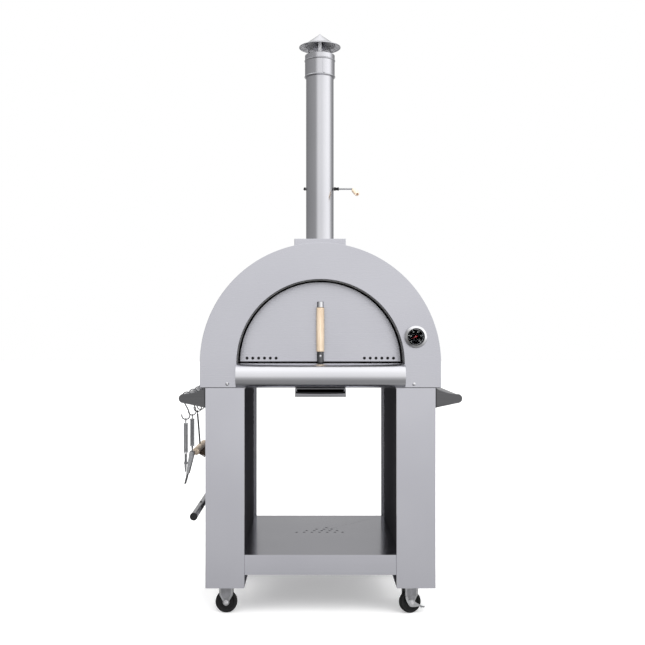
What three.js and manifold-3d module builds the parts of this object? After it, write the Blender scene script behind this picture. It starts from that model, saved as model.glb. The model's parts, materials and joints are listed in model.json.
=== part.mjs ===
// Wood fired pizza oven on a wheeled stainless steel cart.
// Millimetres, +Z up, the front faces -Y, the origin is on the floor under the middle.
import * as THREE from 'three';
import { mergeVertices } from 'three/addons/utils/BufferGeometryUtils.js';
import Module from 'manifold-3d';

const wasm = await Module();
wasm.setup();

// ---- driving dimensions ----
const GAP = 0.3;
const FRONT = -336.5;
const REAR = 386.5;
const SHEET = 2.5;
const PLATE = 3;
const ROUND = 32;

const ARCH_Z = 857;
const FACADE_R = 406.7;
const FACADE_BOTTOM = 775;
const OPENING_R = 283.6;
const SHELL_R = 404.7;
const SHELL_BOTTOM = 774.2;
const PAN_BOTTOM = 773.8;
const PAN_TOP = PAN_BOTTOM + PLATE;
const VAULT_R = 329.3;
const VAULT_FRONT = FRONT + 130;
const VAULT_BACK = 350;
const HEARTH_Z = 855;
const HEARTH_T = 20;

const LIP_HALF = 283.5;
const LIP_R = 40;
const LIP_T = 2;

const SEAL_R = 2.4;
const DOOR_R = 278;
const DOOR_Y = FRONT + 90;
const DOOR_BOTTOM = 860.5;
const DOOR_RIM = 16;
const DOOR_VENT_R = 4;
const DOOR_VENT_Z = 872;
const DOOR_VENT_X = 153;
const DOOR_VENT_STEP = 20.2;
const DOOR_FOOT_X = 195;
const GRIP_Y = DOOR_Y - 45;
const GRIP_R = 13.75;
const GRIP_Z0 = 895;
const GRIP_Z1 = 1045.7;
const BRACKET_HALF = 11.5;

const FLUE_Y = FRONT + 250;
const PIPE_R = 50;
const PIPE_BORE = 47.5;
const PIPE_TOP = 1960;
const FLUE_BASE_HALF = 91;
const FLUE_BASE_TOP = 1293;
const COLLAR_R = 54;
const COLLAR_Z0 = 1885;
const COLLAR_Z1 = 1967;
const CAP_R = 75.5;
const CAP_APEX = 2045;
const CAP_KNEE_R = 54;
const CAP_KNEE_Z = 2006;
const CAP_BRIM_Z = 1996;
const CAP_T = 1.5;
const SPIDER_BOTTOM = 1945;
const SPIDER_RING_TOP = 1958;
const SPIDER_TOP = 2009;
const DAMPER_Z = 1483;
const DAMPER_ROD_R = 3.25;
const DAMPER_ROD_END = 118;

const GAUGE_X = 320;
const GAUGE_Z = 946;
const GAUGE_R = 38;
const DIAL_R = 25.5;

const LEG_IN = 257;
const LEG_OUT = 388;
const LEG_DEPTH = 240;
const LEG_BOTTOM = 98;
const LEG_TOP = 773.5;
const LEG_RETURN = 12;
const SIDE_PANEL_X = 270;
const SHELF_TOP = 208;
const SHELF_HEIGHT = 68;
const SHELF_VENT_R = 5.5;
const SHELF_VENT_Y = FRONT + 380;

const DRAWER_HALF = 85.5;
const DRAWER_DEPTH = 292;
const DRAWER_FLOOR = 750;
const DRAWER_TOP = 770;
const DRAWER_T = 2;
const DRAWER_RAIL_Z = DRAWER_FLOOR - 2.5;
const PULL_BOTTOM = 744;
const PULL_TOP = 757;

const WHEEL_R = 37.5;
const WHEEL_HALF = 12;
const CASTER_X = 322.5;
const CASTER_INSET = 65;
const CASTER_TRAIL = 16;
const CASTER_TURN = 0.28;
const FORK_TOP = 94.7;
const CHEEK_X = 14.5;
const CHEEK_T = 2.5;
const AXLE_R = 4;

const BAR_X = 463;
const BAR_Z = 738;
const BAR_R = 12.5;
const TIP_R = 15;
const HANDLE_BOTTOM = 707;
const HANDLE_TOP = LEG_TOP - 0.1;
const HANDLE_TAB = 25;
const HOOK_DEPTHS = [98, 275, 436, 533];
const HOOK_LOOP_R = 16;
const HOOK_WIRE_R = 2;
const HOOK_J_R = 14;
const HOOK_J_DX = -4;
const HOOK_J_DZ = -65;
const HANG_X = -BAR_X + HOOK_J_DX;
const HANG_Z = BAR_Z + HOOK_J_DZ - HOOK_J_R;
const TOOL_TOP = -13;
const TOOL_HALF_T = 5;
const CUTTER_WHEEL_Z = -151;
const BRUSH_X = 10;
const BRUSH_Z = -137;
const BRUSH_R = 14;
const BRUSH_HALF = 130;
const BRISTLE_LEAN = -1.1;
const RAIL_X = -428;
const RAIL_Z = 339;

// ---- finishes ----
const steel = () => new THREE.MeshStandardMaterial({ color: 0xc8c8d0, roughness: 0.4, metalness: 0.9 });
const darkSteel = () => new THREE.MeshStandardMaterial({ color: 0x5f5f62, roughness: 0.55, metalness: 0.7 });
const chrome = () => new THREE.MeshStandardMaterial({ color: 0xdadade, roughness: 0.12, metalness: 1 });
const zinc = () => new THREE.MeshStandardMaterial({ color: 0x94979a, roughness: 0.45, metalness: 0.8 });
const rubber = () => new THREE.MeshStandardMaterial({ color: 0x101113, roughness: 0.7, metalness: 0 });
const wood = () => new THREE.MeshStandardMaterial({ color: 0xdecbb2, roughness: 0.6, metalness: 0 });
const stone = () => new THREE.MeshStandardMaterial({ color: 0xc9b79a, roughness: 0.9, metalness: 0 });
const wool = () => new THREE.MeshStandardMaterial({ color: 0xd8d4c4, roughness: 1, metalness: 0 });
const blackEnamel = () => new THREE.MeshStandardMaterial({ color: 0x16171a, roughness: 0.4, metalness: 0.1 });
const glass = () => new THREE.MeshStandardMaterial({ color: 0xe8eef0, roughness: 0.05, metalness: 0 });
const red = () => new THREE.MeshStandardMaterial({ color: 0xb3261e, roughness: 0.5, metalness: 0.1 });

const oven = new THREE.Group();

// ---- solids ----
function signedVolume(position, index) {
  const a = new THREE.Vector3();
  const b = new THREE.Vector3();
  const c = new THREE.Vector3();
  let volume = 0;
  for (let i = 0; i < index.length; i += 3) {
    a.fromBufferAttribute(position, index[i]);
    b.fromBufferAttribute(position, index[i + 1]);
    c.fromBufferAttribute(position, index[i + 2]);
    volume += a.dot(b.cross(c));
  }
  return volume;
}

// A closed three.js geometry as a solid, with its faces turned outwards.
function solid(geometry) {
  const bare = geometry.clone();
  bare.deleteAttribute('normal');
  bare.deleteAttribute('uv');
  const merged = mergeVertices(bare, 1e-4);
  const index = Array.from(merged.index.array);
  if (signedVolume(merged.attributes.position, index) < 0) {
    index.reverse();
  }
  return new wasm.Manifold(new wasm.Mesh({
    numProp: 3,
    vertProperties: new Float32Array(merged.attributes.position.array),
    triVerts: new Uint32Array(index),
  }));
}

function join(first, ...others) {
  return others.reduce((sum, other) => sum.add(other), first);
}

function cut(body, ...tools) {
  return tools.reduce((rest, tool) => rest.subtract(tool), body);
}

function toGeometry(body) {
  const mesh = body.getMesh();
  const geometry = new THREE.BufferGeometry();
  geometry.setAttribute('position', new THREE.BufferAttribute(new Float32Array(mesh.vertProperties), 3));
  geometry.setIndex(new THREE.BufferAttribute(new Uint32Array(mesh.triVerts), 1));
  geometry.computeVertexNormals();
  return geometry;
}

function add(name, body, material, x = 0, y = 0, z = 0) {
  const mesh = new THREE.Mesh(toGeometry(body), material);
  mesh.name = name;
  mesh.position.set(x, y, z);
  oven.add(mesh);
  return mesh;
}

function block(x0, x1, y0, y1, z0, z1) {
  const box = new THREE.BoxGeometry(x1 - x0, y1 - y0, z1 - z0);
  box.translate((x0 + x1) / 2, (y0 + y1) / 2, (z0 + z1) / 2);
  return solid(box);
}

// An outline drawn in x and z, thickened along +Y from y0.
function plateXZ(shape, y0, thickness, curveSegments = ROUND) {
  const plate = new THREE.ExtrudeGeometry(shape, { depth: thickness, bevelEnabled: false, curveSegments });
  plate.rotateX(Math.PI / 2);
  plate.translate(0, y0 + thickness, 0);
  return solid(plate);
}

// An outline drawn in x and y, thickened along +Z from z0.
function plateXY(shape, z0, thickness, curveSegments = 16) {
  const plate = new THREE.ExtrudeGeometry(shape, { depth: thickness, bevelEnabled: false, curveSegments });
  plate.translate(0, 0, z0);
  return solid(plate);
}

// An outline drawn in y and z, thickened along +X from x0.
function plateYZ(shape, x0, thickness, curveSegments = 16) {
  const plate = new THREE.ExtrudeGeometry(shape, { depth: thickness, bevelEnabled: false, curveSegments });
  plate.rotateZ(Math.PI / 2);
  plate.rotateY(Math.PI / 2);
  plate.translate(x0, 0, 0);
  return solid(plate);
}

// A profile of [radius, height] pairs turned about the Z axis.
function turned(profile, segments = 24) {
  const points = profile.map(([r, h]) => new THREE.Vector2(r, h));
  const lathe = new THREE.LatheGeometry(points, segments);
  lathe.rotateX(Math.PI / 2);
  return solid(lathe);
}

function rod(radius, from, to, segments = 12) {
  const start = new THREE.Vector3(...from);
  const end = new THREE.Vector3(...to);
  const cylinder = new THREE.CylinderGeometry(radius, radius, start.distanceTo(end), segments);
  const along = end.clone().sub(start).normalize();
  cylinder.applyQuaternion(new THREE.Quaternion().setFromUnitVectors(new THREE.Vector3(0, 1, 0), along));
  cylinder.translate(...start.add(end).multiplyScalar(0.5).toArray());
  return solid(cylinder);
}

function ball(radius, x, y, z, segments = 12) {
  const sphere = new THREE.SphereGeometry(radius, segments, segments / 2);
  sphere.translate(x, y, z);
  return solid(sphere);
}

function circle(radius, sides) {
  const shape = new THREE.Shape();
  for (let i = 0; i < sides; i += 1) {
    const angle = (2 * Math.PI * i) / sides;
    shape[i === 0 ? 'moveTo' : 'lineTo'](radius * Math.cos(angle), radius * Math.sin(angle));
  }
  return shape;
}

function tube(points, radius, steps, sides = 8) {
  const path = new THREE.CatmullRomCurve3(points);
  return solid(new THREE.ExtrudeGeometry(circle(radius, sides), { steps, extrudePath: path }));
}

// ---- arches ----
// An arched outline: a half round of the given radius with straight sides down to a level.
function archShape(radius, bottom) {
  const shape = new THREE.Shape();
  shape.moveTo(radius, bottom);
  shape.lineTo(radius, ARCH_Z);
  shape.absarc(0, ARCH_Z, radius, 0, Math.PI, false);
  shape.lineTo(-radius, bottom);
  return shape;
}

function archBlock(radius, bottom, y0, y1) {
  return plateXZ(archShape(radius, bottom), y0, y1 - y0);
}

function archBand(outer, inner, bottom, y0, y1) {
  return cut(archBlock(outer, bottom, y0, y1), archBlock(inner, bottom - 10, y0 - 10, y1 + 10));
}

function flueHole(radius) {
  return rod(radius, [0, FLUE_Y, ARCH_Z], [0, FLUE_Y, PIPE_TOP], ROUND);
}

function makeOvenBody() {
  const stemHole = rod(5, [GAUGE_X, FRONT - 10, GAUGE_Z], [GAUGE_X, FRONT + 10, GAUGE_Z]);
  const facade = archBand(FACADE_R, OPENING_R, FACADE_BOTTOM, FRONT, FRONT + PLATE);
  add('front_facade', cut(facade, stemHole), steel());

  const inside = FRONT + PLATE + GAP;
  const back = REAR - PLATE - GAP;
  const shell = archBand(SHELL_R, SHELL_R - SHEET, SHELL_BOTTOM, inside, back);
  add('outer_shell', cut(shell, flueHole(PIPE_R + 1.5)), steel());
  add('rear_panel', archBlock(SHELL_R, SHELL_BOTTOM, REAR - PLATE, REAR), steel());

  const insulation = archBand(SHELL_R - SHEET - GAP, VAULT_R + GAP, PAN_TOP + GAP, FRONT + 70, back - 1);
  add('vault_insulation', cut(insulation, flueHole(PIPE_R + 1.5)), wool());

  const lining = archBand(OPENING_R + 2.9, OPENING_R + 0.4, PAN_TOP + GAP, inside, VAULT_FRONT - GAP);
  add('arch_lining', lining, darkSteel());
}

function makeVault() {
  const bottom = PAN_TOP + GAP;
  const outside = archBlock(VAULT_R, bottom, VAULT_FRONT, VAULT_BACK);
  const room = archBlock(VAULT_R - PLATE, bottom - 10, VAULT_FRONT + PLATE, VAULT_BACK - PLATE);
  const mouth = archBlock(OPENING_R, bottom - 10, VAULT_FRONT - 10, VAULT_FRONT + 10);
  add('inner_vault', cut(outside, room, mouth, flueHole(PIPE_R + 0.6)), darkSteel());

  const half = VAULT_R - PLATE - GAP;
  const front = VAULT_FRONT + PLATE + GAP;
  const rear = VAULT_BACK - PLATE - GAP;
  const stoneBottom = HEARTH_Z - HEARTH_T;
  add('floor_insulation', block(-half, half, front, rear, bottom, stoneBottom - GAP), wool());
  add('hearth_stone', block(-half, half, front, rear, stoneBottom, HEARTH_Z), stone());
}

function makeDoorSeal() {
  const centreR = OPENING_R - SEAL_R - 0.2;
  const points = [];
  for (let i = 0; i <= 24; i += 1) {
    const angle = 0.01 + ((Math.PI - 0.02) * i) / 24;
    const x = centreR * Math.cos(angle);
    points.push(new THREE.Vector3(x, FRONT + PLATE + SEAL_R + GAP, ARCH_Z + centreR * Math.sin(angle)));
  }
  add('door_seal', tube(points, SEAL_R, 32, 6), wool());
}

// The landing shelf is one folded sheet: a flat sill that ends in a half round nose.
function makeLandingLip() {
  const nose = FRONT - 10;
  const noseZ = HEARTH_Z - LIP_R;
  const profile = new THREE.Shape();
  profile.moveTo(VAULT_FRONT, HEARTH_Z);
  profile.lineTo(nose, HEARTH_Z);
  profile.absarc(nose, noseZ, LIP_R, Math.PI / 2, (3 * Math.PI) / 2, false);
  profile.lineTo(FRONT + 1, HEARTH_Z - 2 * LIP_R);
  profile.lineTo(FRONT + 1, HEARTH_Z - 2 * LIP_R + LIP_T);
  profile.lineTo(nose, HEARTH_Z - 2 * LIP_R + LIP_T);
  profile.absarc(nose, noseZ, LIP_R - LIP_T, (3 * Math.PI) / 2, Math.PI / 2, true);
  profile.lineTo(VAULT_FRONT, HEARTH_Z - LIP_T);
  const sheet = plateYZ(profile, -LIP_HALF, 2 * LIP_HALF);

  const cheek = new THREE.Shape();
  cheek.moveTo(FRONT + 1, HEARTH_Z - 1);
  cheek.lineTo(nose, HEARTH_Z - 1);
  cheek.absarc(nose, noseZ, LIP_R - 1, Math.PI / 2, (3 * Math.PI) / 2, false);
  cheek.lineTo(FRONT + 1, HEARTH_Z - 2 * LIP_R + 1);
  const left = plateYZ(cheek, -LIP_HALF, LIP_T);
  const right = plateYZ(cheek, LIP_HALF - LIP_T, LIP_T);
  add('landing_lip', join(sheet, left, right), steel());
}

// The pan carries the oven, and two angle rails under it carry the ash drawer.
function makeBasePan() {
  const half = SHELL_R - SHEET - GAP;
  const pan = block(-half, half, FRONT + PLATE + GAP, REAR - PLATE - GAP, PAN_BOTTOM, PAN_TOP);
  const parts = [];
  for (const side of [-1, 1]) {
    const inner = side * (DRAWER_HALF - 15.5);
    const wall = side * (DRAWER_HALF - 3.5);
    const outer = side * (DRAWER_HALF - 1.5);
    const y0 = FRONT + 10;
    const y1 = y0 + DRAWER_DEPTH + 10;
    parts.push(block(Math.min(wall, outer), Math.max(wall, outer), y0, y1, DRAWER_RAIL_Z, PAN_BOTTOM + 1));
    parts.push(block(Math.min(inner, outer), Math.max(inner, outer), y0, y1,
      DRAWER_RAIL_Z, DRAWER_RAIL_Z + 2));
  }
  add('base_pan', join(pan, ...parts), steel());
}

function makeDrawer() {
  const half = DRAWER_HALF - 5.5;
  const y0 = FRONT + 8;
  const tray = block(-half, half, y0, y0 + DRAWER_DEPTH, DRAWER_FLOOR, DRAWER_TOP);
  const inside = block(-half + DRAWER_T, half - DRAWER_T, y0 + DRAWER_T, y0 + DRAWER_DEPTH - DRAWER_T,
    DRAWER_FLOOR + DRAWER_T, DRAWER_TOP + 20);
  const face = block(-DRAWER_HALF, DRAWER_HALF, y0 - DRAWER_T, y0 + 1, PULL_BOTTOM, DRAWER_TOP + 2);
  const bar = block(-DRAWER_HALF, DRAWER_HALF, FRONT - 10, FRONT - 4, PULL_BOTTOM, PULL_TOP);
  const cheeks = [-1, 1].map((side) => {
    const inner = side * (DRAWER_HALF - DRAWER_T);
    const outer = side * DRAWER_HALF;
    return block(Math.min(inner, outer), Math.max(inner, outer), FRONT - 5, y0, PULL_BOTTOM, DRAWER_TOP);
  });
  add('ash_drawer', join(cut(join(tray, face), inside), bar, ...cheeks), darkSteel());
}

// ---- door ----
function makeDoor() {
  const outline = cut(archBlock(DOOR_R, ARCH_Z - 20, DOOR_Y, DOOR_Y + DOOR_RIM),
    block(-400, 400, DOOR_Y - 1, DOOR_Y + 100, 700, DOOR_BOTTOM));
  const hollow = cut(archBlock(DOOR_R - 2, ARCH_Z - 20, DOOR_Y + 2, DOOR_Y + DOOR_RIM + 5),
    block(-400, 400, DOOR_Y - 1, DOOR_Y + 100, 700, DOOR_BOTTOM + 2));
  const vents = [];
  for (const side of [-1, 1]) {
    for (let i = 0; i < 6; i += 1) {
      const x = side * (DOOR_VENT_X + DOOR_VENT_STEP * i);
      vents.push(rod(DOOR_VENT_R, [x, DOOR_Y - 5, DOOR_VENT_Z], [x, DOOR_Y + 5, DOOR_VENT_Z], 8));
    }
  }
  const feet = [-DOOR_FOOT_X, DOOR_FOOT_X].map((x) => {
    return block(x - 15, x + 15, DOOR_Y, DOOR_Y + DOOR_RIM, HEARTH_Z + GAP, DOOR_BOTTOM + 1);
  });
  add('door_panel', join(cut(outline, hollow, ...vents), ...feet), steel());

  const plan = new THREE.Shape();
  plan.moveTo(-BRACKET_HALF, DOOR_Y - GAP);
  plan.lineTo(-BRACKET_HALF, GRIP_Y);
  plan.absarc(0, GRIP_Y, BRACKET_HALF, Math.PI, 2 * Math.PI, false);
  plan.lineTo(BRACKET_HALF, DOOR_Y - GAP);
  add('door_bracket_top', plateXY(plan, GRIP_Z1 + GAP, 20), chrome());
  add('door_bracket_bottom', plateXY(plan, HEARTH_Z + 3, GRIP_Z0 - GAP - HEARTH_Z - 3), darkSteel());

  const grip = [[0, GRIP_Z0], [GRIP_R - 1.5, GRIP_Z0], [GRIP_R, GRIP_Z0 + 2],
    [GRIP_R, GRIP_Z1 - 2], [GRIP_R - 1.5, GRIP_Z1], [0, GRIP_Z1]];
  add('door_grip', turned(grip, 24), wood(), 0, GRIP_Y, 0);
}

// ---- flue ----
function makeFlue() {
  const half = FLUE_BASE_HALF;
  const outer = block(-half, half, FLUE_Y - half, FLUE_Y + half, 1240, FLUE_BASE_TOP);
  const inner = block(-half + SHEET, half - SHEET, FLUE_Y - half + SHEET, FLUE_Y + half - SHEET,
    1230, FLUE_BASE_TOP - SHEET);
  const saddle = plateXZ(archShape(SHELL_R + GAP, ARCH_Z - 20), FLUE_Y - 200, 400);
  add('flue_base', cut(outer, inner, saddle, flueHole(PIPE_R + 0.5)), steel());

  const pipeBottom = ARCH_Z + VAULT_R - PLATE + 1;
  const pipe = turned([[PIPE_BORE, pipeBottom], [PIPE_R, pipeBottom], [PIPE_R, PIPE_TOP],
    [PIPE_BORE, PIPE_TOP], [PIPE_BORE, pipeBottom]], ROUND);
  const shaftHole = rod(DAMPER_ROD_R + 0.4, [-80, 0, DAMPER_Z], [80, 0, DAMPER_Z]);
  add('flue_pipe', cut(pipe, shaftHole), steel(), 0, FLUE_Y, 0);

  const bore = PIPE_R + 0.4;
  const bead = (z) => [[COLLAR_R, z - 3], [COLLAR_R + 2, z], [COLLAR_R, z + 3]];
  add('flue_collar', turned([[bore, COLLAR_Z0], [COLLAR_R, COLLAR_Z0], ...bead(COLLAR_Z0 + 4),
    ...bead(COLLAR_Z1 - 20), [COLLAR_R, COLLAR_Z1], [bore, COLLAR_Z1], [bore, COLLAR_Z0]], ROUND),
  steel(), 0, FLUE_Y, 0);

  const ringR = PIPE_BORE - 0.5;
  let spider = turned([[ringR - 2, SPIDER_BOTTOM], [ringR, SPIDER_BOTTOM], [ringR, SPIDER_RING_TOP],
    [ringR - 2, SPIDER_RING_TOP], [ringR - 2, SPIDER_BOTTOM]], ROUND);
  for (const angle of [-90, 30, 150]) {
    const strap = new THREE.BoxGeometry(2, 12, SPIDER_TOP - SPIDER_BOTTOM);
    strap.translate(ringR - 1.1, 0, (SPIDER_TOP + SPIDER_BOTTOM) / 2);
    strap.rotateZ(THREE.MathUtils.degToRad(angle));
    spider = spider.add(solid(strap));
  }
  add('cap_spider', spider, steel(), 0, FLUE_Y, 0);

  const top = [[CAP_R, CAP_BRIM_Z], [CAP_KNEE_R, CAP_KNEE_Z], [0, CAP_APEX]];
  const underside = top.map(([r, z]) => [r, z - CAP_T]).reverse();
  add('rain_cap', turned([...underside, ...top]), steel(), 0, FLUE_Y, 0);
}

function makeDamper() {
  const lean = new THREE.Vector3(0.25, -0.87, -0.42).normalize();
  const elbow = new THREE.Vector3(DAMPER_ROD_END, 0, 0);
  const stubEnd = elbow.clone().addScaledVector(lean, 12);
  const nut = rod(6, [-58, 0, 0], [-51.2, 0, 0], 6);
  const shaft = join(rod(DAMPER_ROD_R, [-60, 0, 0], elbow.toArray()), nut,
    ball(DAMPER_ROD_R, ...elbow.toArray()), rod(DAMPER_ROD_R, elbow.toArray(), stubEnd.toArray()));
  add('damper_shaft', shaft, zinc(), 0, FLUE_Y, DAMPER_Z);

  const gripProfile = [[0, 0], [6.5, 0], [8.5, 6], [9, 26], [9, 46], [7, 51], [0, 52]];
  const grip = add('damper_grip', turned(gripProfile, 20), wood());
  grip.position.set(0, FLUE_Y, DAMPER_Z).add(stubEnd).addScaledVector(lean, GAP);
  grip.quaternion.setFromUnitVectors(new THREE.Vector3(0, 0, 1), lean);

  const plate = add('damper_plate', turned([[0, -1], [45.5, -1], [45.5, 1], [0, 1]]), zinc());
  plate.rotation.x = Math.PI / 2;
  plate.position.set(0, FLUE_Y + DAMPER_ROD_R + 1 + GAP, DAMPER_Z);

  const bush = cut(rod(6.5, [PIPE_R - 3, 0, 0], [PIPE_R + 19, 0, 0]),
    rod(DAMPER_ROD_R + 0.4, [0, 0, 0], [90, 0, 0]),
    rod(PIPE_R + 0.4, [0, 0, -20], [0, 0, 20], ROUND));
  add('damper_bush', bush, blackEnamel(), 0, FLUE_Y, DAMPER_Z);
}

// ---- thermometer ----
// Its pieces are turned about Z and then laid down, so that their heights run forwards.
function addToGauge(name, body, material) {
  const mesh = add(name, body, material, GAUGE_X, FRONT - 0.5, GAUGE_Z);
  mesh.rotation.x = Math.PI / 2;
}

function makeGauge() {
  const cup = turned([[0, 0], [GAUGE_R - 2, 0], [GAUGE_R, 3], [GAUGE_R, 16], [GAUGE_R - 3, 22],
    [GAUGE_R - 8, 24], [DIAL_R + 0.4, 20], [DIAL_R + 0.4, 8], [0, 8]]);
  const stem = rod(4, [0, 0, -60], [0, 0, 1]);
  addToGauge('gauge_case', join(cup, stem), chrome());
  const dial = turned([[0, 8.3], [DIAL_R, 8.3], [DIAL_R, 10], [1, 10], [1, 13], [0, 13]]);
  addToGauge('gauge_dial', dial, blackEnamel());
  addToGauge('gauge_lens', turned([[0, 14], [DIAL_R, 14], [DIAL_R, 16], [0, 16]]), glass());

  const pointer = new THREE.Shape();
  pointer.moveTo(-7, 1.4);
  pointer.lineTo(-7, -1.4);
  pointer.lineTo(19, -0.4);
  pointer.lineTo(19, 0.4);
  const blade = plateXY(pointer, 11, 1);
  const hub = rod(3, [0, 0, 11], [0, 0, 12], 12);
  const needle = cut(join(blade, hub), rod(1.4, [0, 0, 5], [0, 0, 20], 12)).rotate([0, 0, 215]);
  addToGauge('gauge_needle', needle, red());
}

// ---- cart ----
function makeLeg(name, side, isFront) {
  const span = (a, b, y0, y1, z0, z1) => {
    return block(Math.min(side * a, side * b), Math.max(side * a, side * b), y0, y1, z0, z1);
  };
  const face = isFront ? FRONT : REAR;
  const inward = isFront ? 1 : -1;
  const range = (from, to) => [face + inward * from, face + inward * to].sort((a, b) => a - b);
  const front = span(LEG_IN, LEG_OUT, ...range(0, PLATE), LEG_BOTTOM, LEG_TOP);
  const outer = span(LEG_OUT - PLATE, LEG_OUT, ...range(0, LEG_DEPTH), LEG_BOTTOM, LEG_TOP);
  const fold = span(LEG_IN, LEG_IN + PLATE, ...range(0, LEG_RETURN), LEG_BOTTOM, LEG_TOP);
  const foot = span(LEG_IN, LEG_OUT, ...range(0, LEG_DEPTH), LEG_BOTTOM, LEG_BOTTOM + PLATE);
  const head = span(LEG_IN, LEG_OUT, ...range(0, LEG_DEPTH), LEG_TOP - PLATE, LEG_TOP);
  const hem = span(LEG_OUT - 25, LEG_OUT, ...range(LEG_DEPTH - PLATE, LEG_DEPTH), LEG_BOTTOM, LEG_TOP);
  add(name, join(front, outer, fold, foot, head, hem), steel());
}

function makeCart() {
  makeLeg('leg_front_left', -1, true);
  makeLeg('leg_front_right', 1, true);
  makeLeg('leg_rear_left', -1, false);
  makeLeg('leg_rear_right', 1, false);
  for (const [name, side] of [['side_panel_left', -1], ['side_panel_right', 1]]) {
    const x = side * (SIDE_PANEL_X + SHEET / 2);
    add(name, block(x - SHEET / 2, x + SHEET / 2, FRONT + PLATE + GAP, REAR - PLATE - GAP,
      LEG_BOTTOM + PLATE + GAP, LEG_TOP - PLATE - GAP), steel());
  }
  makeShelf();
}

function makeShelf() {
  const half = SIDE_PANEL_X - GAP;
  const y0 = FRONT + LEG_RETURN + 1;
  const y1 = REAR - LEG_RETURN - 1;
  const tray = block(-half, half, y0, y1, SHELF_TOP - SHELF_HEIGHT, SHELF_TOP);
  const under = block(-half + SHEET, half - SHEET, y0 + SHEET, y1 - SHEET, 0, SHELF_TOP - SHEET);
  const vents = [];
  for (let column = -3; column <= 3; column += 1) {
    for (let row = 0; row <= 3 - Math.abs(column); row += 1) {
      const x = 29 * column + 9 * row;
      const y = SHELF_VENT_Y + 28 * row;
      vents.push(rod(SHELF_VENT_R, [x, y, SHELF_TOP - 10], [x, y, SHELF_TOP + 10], 8));
    }
  }
  add('storage_shelf', cut(tray, under, ...vents), steel());
}

// ---- casters ----
function cheekShape(height, halfWidth) {
  const shape = new THREE.Shape();
  const open = THREE.MathUtils.degToRad(20);
  shape.moveTo(halfWidth, height);
  shape.lineTo(halfWidth, 26);
  shape.absarc(0, 0, 11, open, Math.PI - open, true);
  shape.lineTo(-halfWidth, 26);
  shape.lineTo(-halfWidth, height);
  return shape;
}

// The fork stands with its axle along Y through the local origin.
function forkBody(height, webHalf, webOffset, boltFront) {
  const cheeks = [-CHEEK_X - CHEEK_T, CHEEK_X].map((y) => plateXZ(cheekShape(height, 23.5), y, CHEEK_T, 6));
  const web = block(-webHalf + webOffset, webHalf + webOffset, -CHEEK_X - CHEEK_T, CHEEK_X + CHEEK_T,
    height - 3, height);
  const axle = rod(AXLE_R, [0, -boltFront, 0], [0, 21, 0]);
  const heads = [rod(7, [0, -boltFront - 3.5, 0], [0, -boltFront, 0], 6), rod(7, [0, 17, 0], [0, 21, 0], 6)];
  return join(...cheeks, web, axle, ...heads);
}

// The tyre stands on the flat of a facet, so its corners lie a little outside the rolling radius.
function wheelBody() {
  const bore = AXLE_R + 0.4;
  const w = WHEEL_HALF;
  const r = WHEEL_R / Math.cos(Math.PI / ROUND);
  const tread = [[r - 4, -w], [r, -w + 5], [r, w - 5], [r - 4, w]];
  const wheel = turned([[bore, -w], ...tread, [bore, w], [bore, -w]], ROUND);
  return wheel.rotate([0, 0, 180 / ROUND]).rotate([90, 0, 0]);
}

function pedalBody() {
  const lever = new THREE.Shape();
  lever.moveTo(-24, 21);
  lever.quadraticCurveTo(-17, -2, -7, -11.5);
  lever.quadraticCurveTo(2, -17, 27, -13);
  lever.lineTo(44, -20);
  lever.lineTo(46, -16);
  lever.lineTo(28, -7);
  lever.quadraticCurveTo(12, 0, 9, 9);
  lever.quadraticCurveTo(-4, 15, -13, 9);
  lever.lineTo(-20, 22);
  const plate = plateXZ(lever, -20.5, 2.5, 5);
  const tread = block(30, 45, -27, -18.5, -16.5, -14.5);
  return cut(join(plate, tread), rod(AXLE_R + 0.4, [0, -30, 0], [0, 0, 0]));
}

function makeRigidCaster(end, y) {
  const x = -CASTER_X;
  const height = FORK_TOP - WHEEL_R;
  const plate = block(-42, 42, -30, 30, height, height + PLATE);
  add(`caster_fork_${end}_left`, join(forkBody(height, 23.5, 0, 17), plate), zinc(), x, y, WHEEL_R);
  add(`wheel_${end}_left`, wheelBody(), rubber(), x, y, WHEEL_R);
}

function makeSwivelCaster(end, y) {
  const forkHeight = 89.5 - WHEEL_R;
  const x = CASTER_X;
  const plate = join(block(-42, 42, -30, 30, FORK_TOP, FORK_TOP + PLATE),
    rod(21, [0, 0, 90.2], [0, 0, FORK_TOP + 1], 32), rod(6, [0, 0, 84], [0, 0, FORK_TOP]));
  add(`caster_plate_${end}_right`, plate, zinc(), x, y, 0);

  const wheelX = x - CASTER_TRAIL * Math.cos(CASTER_TURN);
  const wheelY = y - CASTER_TRAIL * Math.sin(CASTER_TURN);
  const pinHole = rod(6.4, [CASTER_TRAIL, 0, 0], [CASTER_TRAIL, 0, 80]);
  const fork = cut(forkBody(forkHeight, 26, 8, 21), pinHole);
  const place = (mesh) => {
    mesh.rotation.z = CASTER_TURN;
  };
  place(add(`caster_fork_${end}_right`, fork, zinc(), wheelX, wheelY, WHEEL_R));
  place(add(`wheel_${end}_right`, wheelBody(), rubber(), wheelX, wheelY, WHEEL_R));
  place(add(`brake_pedal_${end}_right`, pedalBody(), zinc(), wheelX, wheelY, WHEEL_R));
}

function makeCasters() {
  for (const [end, y] of [['front', FRONT + CASTER_INSET], ['rear', REAR - CASTER_INSET]]) {
    makeRigidCaster(end, y);
    makeSwivelCaster(end, y);
  }
}

// ---- side handles, rail and hooks ----
function bracketShape() {
  const shape = new THREE.Shape();
  const base = LEG_OUT + GAP;
  shape.moveTo(base, HANDLE_BOTTOM);
  shape.lineTo(BAR_X + 4, BAR_Z - TIP_R + 0.6);
  shape.absarc(BAR_X, BAR_Z, TIP_R, -1.3, 1.75, false);
  shape.quadraticCurveTo(base + 32, BAR_Z + 16, base, HANDLE_TOP);
  return shape;
}

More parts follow.
